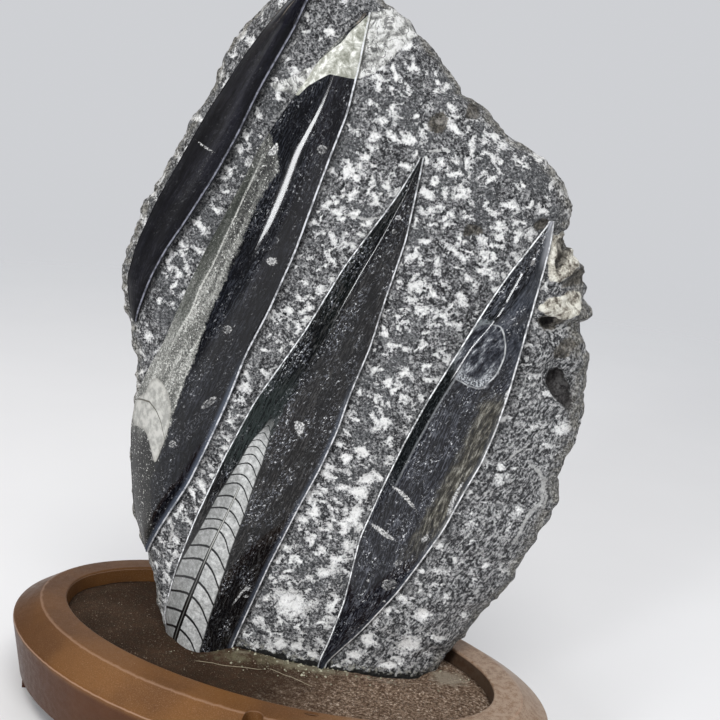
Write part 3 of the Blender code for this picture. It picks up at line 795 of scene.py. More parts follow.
ivoryPatch = ((-68.8, 119), (-67, 123.9), (-63.7, 127.2), (-59.4, 126.4), (-55.6, 122.7),
              (-53.3, 117.3), (-53.2, 110.1), (-54.8, 102.6), (-56.6, 96.5), (-59.6, 88.7),
              (-62, 92.8), (-64.6, 98.2), (-67.7, 101.4), (-71.5, 101.3), (-76, 101), (-77, 108),
              (-73, 115))
ivoryWall = ((-78, 112), (-70.7, 114.7), (-65.7, 115.5), (-61.3, 113.2), (-58.2, 109.4),
             (-55.5, 102.5), (-53, 97))
chamberOval = ((78.1, 171.2), (81.4, 173.3), (84.9, 173.7), (88.4, 172.9), (90.8, 167.6),
               (91.5, 162.3), (90.8, 157.7), (88.9, 152.2), (86.3, 148.9), (83.3, 145.6),
               (78.6, 146.2), (75, 147.6), (71.7, 149.5), (71.4, 156), (74, 165))
shellForm = {
    "left": ((-20, -49), (0, -50.8), (8, -51.4), (14.5, -51.8), (20, -50.8), (27, -49), (32, -47.8),
             (43, -44.1), (51, -40.4), (58.7, -36.8), (65.8, -33.8), (72, -31.4), (78.6, -28.6),
             (84.5, -25.6), (90, -23.1), (96, -19.9), (104.3, -16.4), (108.6, -14), (114.2, -9.8),
             (122.3, -6)),
    "right": ((2.2, -30.3), (8.6, -28.8), (18.2, -27.1), (28, -24.9), (38, -22.8), (46, -21),
              (54.5, -19.3), (61.7, -17.5), (68.3, -15.7), (75.3, -14), (81.7, -12.7),
              (87.2, -11.4), (93, -10.1), (98, -8.6), (104, -7.6), (107.6, -6.9), (114, -6.2),
              (122.5, -2.5)),
    "tube": ((2.6, -44.4), (11.7, -42), (19.5, -39.8), (29, -37), (37.5, -34.3), (46, -31.7),
             (54.4, -29), (62, -26.3), (68, -24.1), (74, -22), (79.8, -20), (84.8, -18.4)),
    "walls": (118, 114.3, 110.7, 107.1, 103.6, 99.5, 94.8, 89.2, 84.3, 77.8, 71.7, 65.8, 60, 51,
              43.2, 33.2, 24.6, 14.6, 5.4, -5, -14),
    # How far a wall stands over its left end, in chambers, from the left edge to the right.
    "arch": ((0, 0), (0.07, 0.1), (0.22, 0.29), (0.38, 0.39), (0.48, 0.37), (0.6, 0.27),
             (0.72, 0.08), (0.82, -0.18), (0.91, -0.5), (1, -0.85)),
}


def markField(points, marks, kind):
    field = np.full(points.shape[:-1], -1.0)
    for s, h, long, wide, tilt, form in marks:
        if form != kind:
            continue
        angle = math.radians(tilt)
        ds, dh = points[..., 0] - s, points[..., 1] - h
        run = (ds * math.cos(angle) + dh * math.sin(angle)) / long
        side = (dh * math.cos(angle) - ds * math.sin(angle)) / wide
        field = np.maximum(field, 1 - np.hypot(run, side))
    return field


def chamberCount(across, heights):
    # Counts chamber walls from the tip down; each arches up and then sweeps down to the right.
    form = shellForm
    left, right = tableAt(form["left"], heights), tableAt(form["right"], heights)
    q = np.clip((across - left) / (right - left), 0, 1)
    arch = tableAt(form["arch"], q)
    levels = []
    for k, wall in enumerate(form["walls"][:-1]):
        chamber = wall - form["walls"][k + 1]
        levels.append(wall + chamber * np.where(arch > 0, arch, arch * min(1, 0.3 + 0.08 * k)))
    count = np.zeros(across.shape)
    for upper, lower in zip(levels, levels[1:]):
        count += np.clip((upper - heights) / (upper - lower), 0, 1)
    return count


def buildCone(name, finish):
    form, cut = coneForms[name], coneCut
    low, high = form["left"][0][0], form["left"][-1][0]
    if low < 5:
        low = -6.0
    heights = np.linspace(low, high, int((high - low) / cut["row"]))
    h = heights[:, None]
    left, right = softTable(form["left"], h), softTable(form["right"], h)
    crest = left + (right - left) * softTable(form["crest"], h, 12)
    v = np.linspace(-1, 1, cut["columns"])[None, :]
    across = crest + v * np.where(v > 0, right - crest, crest - left)
    rise = softTable(form["height"], h, 14)
    blunt = softTable(form["round"], h, 6)
    rounded = np.sqrt(v * v + blunt ** 2) - blunt
    depth = faceDepth(across, h + 0 * across)
    depth = depth + rise * (1 - rounded ** cut["crestSharpness"]) + cut["lift"]
    top = np.stack([across, h + 0 * across, depth], -1)
    # Side walls: a small rounded bevel, then straight down into the stone.
    walls = []
    for edge, way in ((top[:, :1], -1), (top[:, -1:], 1)):
        wall = [edge + np.array((way * out, 0, -down)) for out, down in cut["wall"]]
        walls.append(np.concatenate(wall if way > 0 else wall[::-1], 1))
    grid = np.concatenate([walls[0], top, walls[1]], 1)
    s, hh = grid[..., 0], grid[..., 1]
    lean = [np.gradient(edge[:, 0], heights)[:, None] for edge in (left, right, crest)]
    leftGap = (s - left) / np.sqrt(1 + lean[0] ** 2)
    rightGap = (right - s) / np.sqrt(1 + lean[1] ** 2)
    flow = np.stack([(s - crest) / np.sqrt(1 + lean[2] ** 2), hh, grid[..., 2]], -1)
    flat = np.stack([s, hh], -1)
    spots = markField(flat, coneMarks[name], "spot")
    for chip in coneChips.get(name, ()):
        spots = np.maximum(spots, np.clip(insideBy(flat, smoothOutline(chip, 3)) * 0.8, -1, 1))
    values = {"leftGap": leftGap, "rightGap": rightGap, "flow": flow,
              "spot": spots,
              "ring": markField(flat, coneMarks[name], "ring")}
    if name == "largeCone":
        values["cream"] = np.clip(insideBy(flat, topPatch), -4, 4)
        values["band"] = tableAt(bandEdge, hh) - s
        values["ridge"] = s - softTable(bandRidge, hh)
        values["ivory"] = np.clip(insideBy(flat, smoothOutline(ivoryPatch)), -4, 4)
        wall = np.array(ivoryWall)
        values["ivoryWall"] = hh - np.interp(s, wall[:, 0], wall[:, 1])
    if name == "chamberedCone":
        inside = np.minimum(s - tableAt(shellForm["left"], hh),
                            tableAt(shellForm["right"], hh) - s) * 0.92
        values["shell"] = np.clip(np.minimum(inside, (121 - hh)), -4, 6)
        values["walls"] = chamberCount(s, hh)
        values["tube"] = (s - tableAt(shellForm["tube"], hh)) * 0.94
    if name == "spindleCone":
        values["oval"] = np.clip(insideBy(flat, smoothOutline(chamberOval)), -4, 8)
    return closedShell(name, grid, finish, values)


# Looks of the polish, per cone: tones left and right of the crest that paint a lit and a shaded
# side, a darker low tone that paints shade, edge lines in mm, speckle and streaks, and the strength
# of a painted bluish reflection low on the right.
coneLooks = {
    "upperCone": {"left": (0.01, 0.01, 0.012), "right": (0.008, 0.008, 0.014),
                  "low": (0.0012, 0.0012, 0.0035),
                  "fade": (160, 275), "leftLine": 0.0, "rightLine": 0.35,
                  "lineColour": (0.3, 0.31, 0.37),
                  "gloss": 0.17, "speckle": 0.08, "streak": (0.016, 0.016, 0.021), "bevelSheen": 0.15},
    "largeCone": {"left": (0.004, 0.0045, 0.006), "right": (0.009, 0.0085, 0.011),
                  "low": (0.0022, 0.003, 0.0055),
                  "fade": (100, 240), "leftLine": 0.0, "rightLine": 0.4,
                  "lineColour": (0.8, 0.82, 0.85),
                  "gloss": 0.34, "speckle": 0.45, "streak": (0.028, 0.03, 0.038), "bevelSheen": 0.6},
    "chamberedCone": {"left": (0.003, 0.005, 0.0045), "right": (0.008, 0.0078, 0.0085),
                      "low": (0.004, 0.0035, 0.0035),
                      "fade": (90, 200), "leftLine": 0.28, "rightLine": 0.3,
                      "lineColour": (0.8, 0.81, 0.83),
                      "gloss": 0.29, "speckle": 1.0, "streak": (0.05, 0.048, 0.047), "bevelSheen": 0.3},
    "spindleCone": {"left": (0.005, 0.006, 0.007), "right": (0.032, 0.037, 0.048),
                    "low": (0.005, 0.0055, 0.009),
                    "fade": (140, 168), "leftLine": 0.3, "rightLine": 0.4,
                    "lineColour": (0.88, 0.89, 0.9),
                    "gloss": 0.3, "speckle": 1.0, "streak": (0.085, 0.09, 0.108), "bevelSheen": 0.2},
}


def paintLargeCone(paint, body, parts, flow, fine, ragged, broken):
    # Grainy calcite beside the dark core, an ivory chamber with its wall, cream at the tip.
    bright = paint.plus(paint.mask(parts[1], 96, 135), paint.mask(parts[1], 150, 210, 0, -1.3))
    long = paint.noise(4, 4, 0.65, flow, (1, 0.12, 0.5))
    tone = paint.plus(paint.noise(0.9, 5, 0.8), paint.mask(long, 0.35, 0.65, -0.08, 0.06))
    tone = paint.plus(tone, paint.times(bright, 0.08))
    tone = paint.plus(tone, paint.mask(parts[1], 92, 104, -0.2, 0))
    grain = paint.ramp(tone, (0.37, (0.012, 0.012, 0.012)), (0.48, (0.085, 0.086, 0.08)),
                       (0.58, (0.22, 0.222, 0.205)), (0.72, (0.6, 0.6, 0.57)))
    grain = paint.colour(paint.mask(paint.noise(1.2, 3, 0.7), 0.61, 0.65, 0, 0.8), grain,
                         (0.8, 0.8, 0.77))
    # Painted shade on the left of the grainy band's ridge, and a pale painted highlight along the
    # ridge.
    ridge = paint.plus(paint.value("ridge"), paint.times(ragged, 0.15))
    reach = paint.times(paint.mask(parts[1], 135, 160), paint.mask(parts[1], 236, 222))
    shaded = paint.times(paint.mask(ridge, 0.4, -1.4), reach)
    grain = paint.colour(paint.times(shaded, 0.62), grain, (0.02, 0.024, 0.018))
    crestHighlight = paint.times(paint.mask(paint.absolute(ridge), 0.15, 0.65, 0.7, 0), reach)
    grain = paint.colour(paint.times(crestHighlight, paint.mask(fine, 0.4, 0.52)), grain,
                         (0.62, 0.62, 0.58))
    band = paint.mask(paint.plus(paint.value("band"), paint.plus(ragged, broken)), -0.6, 0.8)
    body = paint.colour(band, body, grain)
    ivory = paint.colour(paint.mask(paint.noise(4, 5, 0.65), 0.4, 0.6), (0.3, 0.3, 0.28),
                         (0.5, 0.495, 0.465))
    ivory = paint.colour(paint.mask(paint.value("ivory"), 0.0, 1.6, 0.5, 0), ivory,
                         (0.2, 0.19, 0.17))
    wall = paint.mask(paint.absolute(paint.value("ivoryWall")), 0.25, 0.55)
    ivory = paint.colour(wall, (0.1, 0.095, 0.08), ivory)
    ivoryEdge = paint.mask(paint.plus(paint.value("ivory"), paint.times(broken, 0.25)), -0.15, 0.2)
    body = paint.colour(ivoryEdge, body, ivory)
    creamColour = paint.ramp(paint.noise(3.6, 5, 0.75, twist=0.5), (0.36, (0.16, 0.165, 0.13)),
                             (0.5, (0.4, 0.405, 0.355)), (0.62, (0.8, 0.805, 0.76)))
    creamEdge = paint.mask(paint.value("cream"), -0.15, 0.2)
    body = paint.colour(creamEdge, body, creamColour)
    matt = paint.larger(paint.times(band, 0.35), paint.times(ivoryEdge, 0.12))
    matt = paint.larger(matt, paint.times(creamEdge, 0.4))
    return body, matt


def paintChamberedCone(paint, body, parts, fine, brushed, ragged, broken):
    # Pale chambers, thin dark walls, and the tube that runs through them.
    shell = paint.mask(paint.plus(paint.value("shell"), paint.times(broken, 0.2)), -0.1, 0.3)
    pale = paint.ramp(paint.noise(2.2, 6, 0.8), (0.34, (0.2, 0.205, 0.2)),
                      (0.5, (0.38, 0.385, 0.38)), (0.64, (0.6, 0.605, 0.6)))
    pale = paint.colour(paint.mask(paint.value("tube"), 0.5, -2.5, 0, 0.4), pale,
                        (0.05, 0.053, 0.05))
    pale = paint.colour(paint.mask(fine, 0.3, 0.42, 0.6, 0), pale, (0.12, 0.12, 0.11))
    part = paint.math("FRACT", paint.plus(paint.value("walls"), 0.5))
    off = paint.absolute(paint.minus(part, 0.5))
    off = paint.plus(off, paint.times(broken, 0.02))
    pale = paint.colour(paint.mask(off, 0.05, 0.09), (0.016, 0.016, 0.017), pale)
    tube = paint.absolute(paint.value("tube"))
    lower = paint.mask(parts[1], 38, 60, 1, 0)
    wide = paint.plus(paint.mask(parts[1], 0, 84, 1.45, 0.5), paint.times(broken, 0.15))
    inTube = paint.mask(paint.minus(wide, tube), -0.05, 0.15)
    tubeLine = paint.mask(tube, 0.12, 0.32)
    upperTube = paint.colour(tubeLine, (0.36, 0.36, 0.34), (0.07, 0.07, 0.068))
    lowerTube = paint.colour(tubeLine, (0.1, 0.1, 0.095), (0.006, 0.006, 0.006))
    inTube = paint.times(inTube, paint.mask(parts[1], 84, 86, 1, 0))
    pale = paint.colour(inTube, pale, paint.colour(lower, upperTube, lowerTube))
    flank = paint.times(paint.mask(parts[1], 84, 104), paint.mask(parts[1], 150, 122))
    flank = paint.times(flank, paint.mask(parts[0], -0.6, -3.0))
    body = paint.colour(paint.times(flank, paint.mask(brushed, 0.4, 0.56, 0.2, 0.8)), body,
                        (0.026, 0.034, 0.033))
    fade = paint.mask(paint.plus(parts[1], ragged), 104, 122, 1, 0.03)
    body = paint.colour(paint.times(shell, fade), body, pale)
    rim = paint.mask(paint.absolute(paint.value("shell")), 0.1, 0.5, 0.7, 0)
    body = paint.colour(paint.times(rim, fade), body, (0.02, 0.02, 0.02))
    matt = paint.times(shell, 0.12)
    return body, matt


def paintSpindleCone(paint, body, parts, flow, fine, specks, onRight, ragged, broken):
    oval = paint.plus(paint.value("oval"), paint.times(broken, 0.3))
    cloudy = paint.ramp(paint.noise(2.0, 5, 0.75, flow, (1, 0.35, 1)),
                        (0.38, (0.003, 0.0035, 0.005)), (0.48, (0.02, 0.022, 0.03)),
                        (0.57, (0.09, 0.096, 0.11)), (0.66, (0.45, 0.47, 0.49)))
    body = paint.colour(paint.mask(oval, -0.1, 0.4, 0, 0.85), body, cloudy)
    sugared = paint.times(paint.mask(oval, 0.2, 1.0), paint.mask(oval, 2.6, 4.5, 1, 0))
    sugared = paint.times(sugared, paint.mask(parts[1], 158, 148))
    sugared = paint.times(sugared, paint.mask(fine, 0.46, 0.56))
    body = paint.colour(sugared, body, (0.42, 0.44, 0.46))
    pale = paint.times(paint.mask(paint.absolute(oval), 0.1, 0.5, 0.75, 0),
                      paint.mask(paint.noise(5, 2), 0.35, 0.6, 0.3, 1))
    pale = paint.times(pale, paint.mask(parts[0], -2, 5, 0.25, 1))
    body = paint.colour(pale, body, (0.66, 0.68, 0.69))
    flake = paint.times(paint.mask(oval, -2.2, -1.6), paint.mask(oval, -0.2, 0.1, 1, 0))
    flake = paint.times(flake, paint.mask(parts[0], -3, -1.5, 1, 0))
    flake = paint.times(flake, paint.mask(paint.noise(3, 4, 0.65), 0.42, 0.56, 0.1, 0.6))
    body = paint.colour(flake, body, (0.2, 0.22, 0.23))
    cap = paint.times(onRight, paint.mask(paint.plus(parts[1], ragged), 196, 199))
    body = paint.colour(paint.times(cap, 0.8), body, (0.016, 0.018, 0.022))
    tip = paint.times(paint.mask(paint.value("rightGap"), 0.8, 3.2, 0.8, 0),
                      paint.mask(parts[1], 196, 206))
    body = paint.colour(tip, body, (0.33, 0.34, 0.37))
    gap = paint.plus(paint.value("leftGap"), paint.times(ragged, 0.12))
    span = paint.times(paint.mask(parts[1], 85, 105), paint.mask(parts[1], 150, 158, 1, 0))
    facet = paint.times(paint.mask(gap, 4.2, 4.6, 0.85, 0), span)
    body = paint.colour(facet, body, paint.colour(paint.mask(specks, 0.5, 0.64),
                                                  (0.002, 0.003, 0.003), (0.03, 0.035, 0.036)))
    # A pale line beside the dark left facet: a painted highlight along that edge.
    seamHighlight = paint.mask(paint.absolute(paint.minus(gap, 4.7)), 0.1, 0.7, 0.45, 0)
    body = paint.colour(paint.times(seamHighlight, span), body, (0.26, 0.27, 0.28))
    side = paint.mask(paint.plus(paint.value("rightGap"), ragged), 12.5, 8.5)
    brownBand = paint.times(side, paint.mask(paint.plus(parts[1], ragged), 136, 146, 1, 0))
    brownBand = paint.times(brownBand, paint.mask(parts[1], 55, 85))
    brown = paint.ramp(paint.noise(1.3, 5, 0.78, flow, (1, 0.2, 1)), (0.36, (0.006, 0.006, 0.0055)),
                       (0.47, (0.028, 0.025, 0.018)), (0.56, (0.12, 0.112, 0.09)),
                       (0.66, (0.42, 0.41, 0.36)))
    body = paint.colour(paint.times(brownBand, 0.85), body, brown)
    return body


def polishPaint(name):
    look = coneLooks[name]
    paint = Paint(name + "Polish", 0.2, look["gloss"])
    flow = paint.vector("flow")
    parts = paint.node("SeparateXYZ", {0: flow}).outputs
    fine = paint.noise(0.7, 4, 0.75)
    specks = paint.noise(0.9, 4, 0.8, flow, (1, 0.6, 1))
    brushed = paint.noise(0.7, 4, 0.75, flow, (1, 0.14, 0.4))
    cloud = paint.noise(8, 4, 0.6, flow, (1, 0.3, 0.5))
    # Painted light and shade: one tone left and one right of the crest, and a darker tone low down.
    onRight = paint.mask(paint.plus(parts[0], paint.around(cloud, 4)), -0.7, 1.0)
    tall = paint.mask(parts[1], *look["fade"])
    body = paint.colour(tall, look["low"], paint.colour(onRight, look["left"], look["right"]))
    body = paint.colour(paint.mask(cloud, 0.36, 0.6, 0.75, 0), body, (0.003, 0.003, 0.004))
    drift = paint.mask(cloud, 0.38, 0.6, 0.35, 1)
    body = paint.colour(paint.times(paint.mask(brushed, 0.48, 0.64, 0, 0.9), drift), body,
                        look["streak"])
    body = paint.colour(paint.mask(brushed, 0.36, 0.46, 0.7, 0), body, (0.001, 0.001, 0.0015))
    starry = paint.mask(paint.noise(7, 4, 0.65, flow, (1, 0.4, 1)), 0.44, 0.6, 0.06, 1)
    starry = paint.times(starry, look["speckle"])
    body = paint.colour(paint.times(paint.mask(specks, 0.53, 0.6, 0, 0.85), starry), body,
                        (0.15, 0.158, 0.18))
    star = paint.mask(paint.noise(1.1, 4, 0.75, flow, (1, 0.7, 1)), 0.6, 0.64)
    body = paint.colour(paint.times(star, starry), body, (0.65, 0.66, 0.68))
    rough = paint.mask(cloud, 0.3, 0.7, 0.05, 0.12)
    if name == "upperCone":
        rough = paint.mask(parts[1], 284, 292, 0.52, 0.1)
    matt = 0.0
    broken = paint.around(paint.noise(0.9, 4, 0.7), 1.6)
    ragged = paint.around(paint.noise(4, 4, 0.65), 5)
    if name == "largeCone":
        body, matt = paintLargeCone(paint, body, parts, flow, fine, ragged, broken)
    if name == "chamberedCone":
        body, matt = paintChamberedCone(paint, body, parts, fine, brushed, ragged, broken)
    if name == "spindleCone":
        body = paintSpindleCone(paint, body, parts, flow, fine, specks, onRight, ragged, broken)
    # Small fossils and chips: ragged, grainy inside, rings that come and go.
    spot = paint.mask(paint.plus(paint.value("spot"), paint.times(broken, 1.3)), 0.02, 0.3)
    grainy = paint.ramp(paint.noise(0.8, 3, 0.7), (0.38, (0.07, 0.07, 0.07)),
                        (0.48, (0.3, 0.3, 0.3)), (0.6, (0.75, 0.75, 0.74)))
    body = paint.colour(paint.times(spot, 0.9), body, grainy)
    ring = paint.absolute(paint.minus(paint.value("ring"), 0.25))
    ring = paint.mask(paint.plus(ring, paint.times(broken, 0.2)), 0.06, 0.22, 0.75, 0)
    ring = paint.times(ring, paint.mask(paint.noise(1.5, 3, 0.6), 0.42, 0.54))
    core = paint.mask(paint.plus(paint.value("ring"), paint.times(broken, 2.2)), 0.25, 0.8, 0, 0.4)
    body = paint.colour(paint.larger(ring, core), body, grainy)
    # Fine white lines where the polish ends, and a painted bluish reflection on the bevel low on
    # the right.
    bevelSheen = paint.times(paint.mask(paint.value("rightGap"), 0.5, 2.6, look["bevelSheen"], 0),
                       paint.mask(parts[1], 150, 120))
    body = paint.colour(bevelSheen, body, (0.13, 0.155, 0.21))
    wornAndHighlight = paint.mask(paint.noise(3.0, 4, 0.65), 0.38, 0.58, 0.3, 1)
    lines = []
    for side in ("left", "right"):
        if look[side + "Line"] > 0:
            gap = paint.plus(paint.value(side + "Gap"), paint.times(broken, 0.3))
            inner = paint.mask(gap, look[side + "Line"] - 0.2, look[side + "Line"] + 0.1, 1, 0)
            lines.append(paint.times(inner, paint.mask(gap, -0.42, -0.25)))
            # Painted shade on the side wall beyond the line.
            body = paint.colour(paint.mask(gap, -0.45, -0.3, 0.7, 0), body, (0.03, 0.03, 0.032))
    line = lines[0] if len(lines) == 1 else paint.larger(*lines)
    line = paint.times(line, wornAndHighlight)
    body = paint.colour(line, body, look["lineColour"])
    rough = paint.plus(rough, paint.larger(matt, paint.times(line, 0.25)))
    wave = paint.noise(5, 3, 0.5, flow, (1, 0.3, 1))
    return paint.finish(body, rough, wave, 0.035, 0.5)


print("cones")
cones = [buildCone(name, polishPaint(name)) for name in coneForms]

# Oval stand: how far each corner stands out from the recess, its height, its rounding.
standForm = {
    "halfLength": 110.0, "halfWidth": 56.4, "sides": 360, "top": 48, "cutterTop": 60,
    "sharpAngle": 38,
    "profile": ((20.8, 9, 0), (22, 10.2, 0.8), (26.5, 38.7, 1.6), (12.5, 47.5, 1.2),
                (0.4, 48, 1.0), (-0.6, 40, 0), (-2, 17, 0)),
    "hole": {"place": (47.2, -54.3), "half": (3.25, 1.3), "turn": 14, "depth": 4},
    "notch": {"place": (26.3, -64.2), "half": 4.25, "turn": 6, "reach": 18, "floor": 42.0},
}


def roundedProfile(corners):
    points = []
    for i, (out, up, radius) in enumerate(corners):
        here = np.array((out, up), float)
        if radius == 0:
            points.append(here)
            continue
        before = np.array(corners[i - 1][:2], float) - here
        after = np.array(corners[i + 1][:2], float) - here
        start = here + before / np.linalg.norm(before) * radius
        end = here + after / np.linalg.norm(after) * radius
        for t in np.linspace(0, 1, 7):
            points.append(start * (1 - t) ** 2 + here * 2 * t * (1 - t) + end * t * t)
    return np.array(points)


def inputKey(tree, label):
    return next(item.identifier for item in tree.interface.items_tree if item.name == label)


def newTree(name, first, numbers, last):
    # A Geometry Nodes group: geometry and named numbers in, a finish for it, geometry out.
    tree = bpy.data.node_groups.new(name, "GeometryNodeTree")
    sockets = {first: "Geometry", **numbers, "Finish": "Material"}
    for label, kind in sockets.items():
        tree.interface.new_socket(label, in_out="INPUT", socket_type="NodeSocket" + kind)
    tree.interface.new_socket(last, in_out="OUTPUT", socket_type="NodeSocketGeometry")
    return tree, tree.nodes.new("NodeGroupInput"), tree.nodes.new("NodeGroupOutput")


def endTree(tree, made, given, out):
    solid = tree.nodes.new("GeometryNodeRealizeInstances")
    coat = tree.nodes.new("GeometryNodeSetMaterial")
    tree.links.new(made, solid.inputs[0])
    tree.links.new(solid.outputs[0], coat.inputs["Geometry"])
    tree.links.new(given.outputs["Finish"], coat.inputs["Material"])
    tree.links.new(coat.outputs[0], out.inputs[0])
    return tree


def runTree(maker, tree, settings):
    step = maker.modifiers.new(tree.name, "NODES")
    step.node_group = tree
    for label, value in settings.items():
        step[inputKey(tree, label)] = value


def ovalSweepTree():
    # Turns a profile (x = outwards, z = up) into a closed oval body.
    inputs = {"Half Length": "Float", "Half Width": "Float", "Sides": "Int", "Points": "Int"}
    tree, given, out = newTree("ovalSweep", "Profile", inputs, "Body")
    nodes, links = tree.nodes, tree.links

    def mathNode(operation, a, b):
        made = nodes.new("ShaderNodeMath")
        made.operation = operation
        for slot, value in ((0, a), (1, b)):
            if isinstance(value, bpy.types.NodeSocket):
                links.new(value, made.inputs[slot])
            else:
                made.inputs[slot].default_value = value
        return made.outputs[0]

    grid = nodes.new("GeometryNodeMeshGrid")
    links.new(mathNode("ADD", given.outputs["Sides"], 1), grid.inputs["Vertices X"])
    links.new(given.outputs["Points"], grid.inputs["Vertices Y"])
    grid.inputs["Size X"].default_value = grid.inputs["Size Y"].default_value = 1
    where = nodes.new("ShaderNodeSeparateXYZ")
    links.new(nodes.new("GeometryNodeInputPosition").outputs[0], where.inputs[0])
    angle = mathNode("MULTIPLY", mathNode("ADD", where.outputs[0], 0.5), 2 * math.pi)
    row = mathNode("MULTIPLY", mathNode("ADD", where.outputs[1], 0.5),
                mathNode("SUBTRACT", given.outputs["Points"], 1))
    pick = nodes.new("GeometryNodeSampleIndex")
    pick.data_type = "FLOAT_VECTOR"
    links.new(given.outputs["Profile"], pick.inputs["Geometry"])
    links.new(nodes.new("GeometryNodeInputPosition").outputs[0], pick.inputs["Value"])
    links.new(mathNode("ROUND", row, 0), pick.inputs["Index"])
    corner = nodes.new("ShaderNodeSeparateXYZ")
    links.new(pick.outputs[0], corner.inputs[0])
    place = nodes.new("ShaderNodeCombineXYZ")
    longSide = mathNode("ADD", given.outputs["Half Length"], corner.outputs[0])
    shortSide = mathNode("ADD", given.outputs["Half Width"], corner.outputs[0])
    links.new(mathNode("MULTIPLY", longSide, mathNode("COSINE", angle, 0)), place.inputs[0])
    links.new(mathNode("MULTIPLY", shortSide, mathNode("SINE", angle, 0)), place.inputs[1])
    links.new(corner.outputs[2], place.inputs[2])
    move = nodes.new("GeometryNodeSetPosition")
    links.new(grid.outputs["Mesh"], move.inputs["Geometry"])
    links.new(place.outputs[0], move.inputs["Position"])
    weld = nodes.new("GeometryNodeMergeByDistance")
    weld.inputs["Distance"].default_value = 1e-6
    links.new(move.outputs[0], weld.inputs[0])
    return endTree(tree, weld.outputs[0], given, out)


def plainCopy(thing, name):
    # The evaluated result as a plain mesh object; the maker object goes away.
    graph = bpy.context.evaluated_depsgraph_get()
    mesh = bpy.data.meshes.new_from_object(thing.evaluated_get(graph))
    made = addObject(name, mesh)
    bpy.data.objects.remove(thing, do_unlink=True)
    return made


def tidyMesh(thing, fill=False):
    shape = bmesh.new()
    shape.from_mesh(thing.data)
    bmesh.ops.remove_doubles(shape, verts=shape.verts, dist=1e-6)
    if fill:
        bmesh.ops.holes_fill(shape, edges=[e for e in shape.edges if e.is_boundary])
    bmesh.ops.recalc_face_normals(shape, faces=shape.faces)
    shape.to_mesh(thing.data)
    shape.free()


def upright(outline, low, high, name):
    # A straight-sided cutter from an outline in mm.
    shape = bmesh.new()
    rings = [[shape.verts.new((x * 0.001, y * 0.001, z * 0.001)) for x, y in outline]
             for z in (low, high)]
    for i in range(len(outline)):
        j = (i + 1) % len(outline)
        shape.faces.new((rings[0][i], rings[0][j], rings[1][j], rings[1][i]))
    shape.faces.new(rings[0][::-1])
    shape.faces.new(rings[1])
    bmesh.ops.recalc_face_normals(shape, faces=shape.faces)
    mesh = bpy.data.meshes.new(name)
    shape.to_mesh(mesh)
    shape.free()
    return addObject(name, mesh)


def standPaint(name, base, deep):
    paint = Paint(name, 0.48, 0.15)
    fine, mid = paint.noise(0.5, 4, 0.65), paint.noise(3, 3, 0.55)
    broad = paint.noise(35, 3, 0.5)
    colour = paint.colour(paint.mask(broad, 0.35, 0.65), deep, base)
    colour = paint.colour(paint.times(paint.mask(fine, 0.52, 0.7), 0.35), colour, (0.3, 0.19, 0.12))
    colour = paint.colour(paint.times(paint.mask(fine, 0.32, 0.44, 1, 0), 0.4), colour,
                          (0.05, 0.025, 0.014))
    dust = paint.times(paint.mask(paint.noise(0.9, 3, 0.7), 0.66, 0.74), paint.mask(mid, 0.45, 0.6))
    colour = paint.colour(paint.times(dust, 0.5), colour, (0.6, 0.5, 0.42))
    # Darker lower skirt, partly its own colour and partly painted shade; painted shade on the left
    # end;
    # paler dusty right end, partly dust and partly painted light; a pale line along the outer
    # corner and the crease of the lip, partly wear and partly painted highlight.
    parts = paint.node("SeparateXYZ", {0: paint.place}).outputs
    level = paint.plus(parts[2], paint.around(mid, 0.5))
    colour = paint.colour(paint.mask(level, 38.6, 35, 0, 0.8), colour, (0.05, 0.014, 0.004))
    colour = paint.colour(paint.mask(parts[0], -30, -115, 0, 0.35), colour, (0.03, 0.012, 0.005))
    dustAndLight = paint.times(paint.mask(parts[0], 35, 110), paint.mask(level, 37.5, 39.5))
    dustAndLight = paint.times(dustAndLight, paint.mask(paint.plus(fine, mid), 0.8, 1.15, 0.35, 0.95))
    colour = paint.colour(dustAndLight, colour, (0.36, 0.27, 0.2))
    # Painted shade on the wall of the recess at its right end, by the distance from the oval's
    # core.
    along = paint.larger(paint.minus(paint.absolute(parts[0]), 53.5), 0.0)
    fromMiddle = paint.math("SQRT", paint.plus(paint.times(along, along),
                                               paint.times(parts[1], parts[1])))
    recessShade = paint.times(paint.mask(fromMiddle, 57.6, 58.6, 1, 0), paint.mask(parts[0], 30, 75))
    recessShade = paint.times(recessShade, paint.mask(level, 47.7, 46.8))
    colour = paint.colour(paint.times(recessShade, 0.88), colour, (0.022, 0.011, 0.006))
    corner = paint.absolute(paint.minus(level, 38.4))
    crease = paint.absolute(paint.minus(level, 47.1))
    wornAndHighlight = paint.larger(paint.mask(corner, 0.1, 0.5, 0.5, 0), paint.mask(crease, 0.05, 0.4, 0.3, 0))
    colour = paint.colour(wornAndHighlight, colour, (0.42, 0.27, 0.19))
    rough = paint.mask(mid, 0.3, 0.7, 0.34, 0.46)
    return paint.finish(colour, rough, paint.plus(fine, paint.times(mid, 0.5)), 0.09, 0.5)


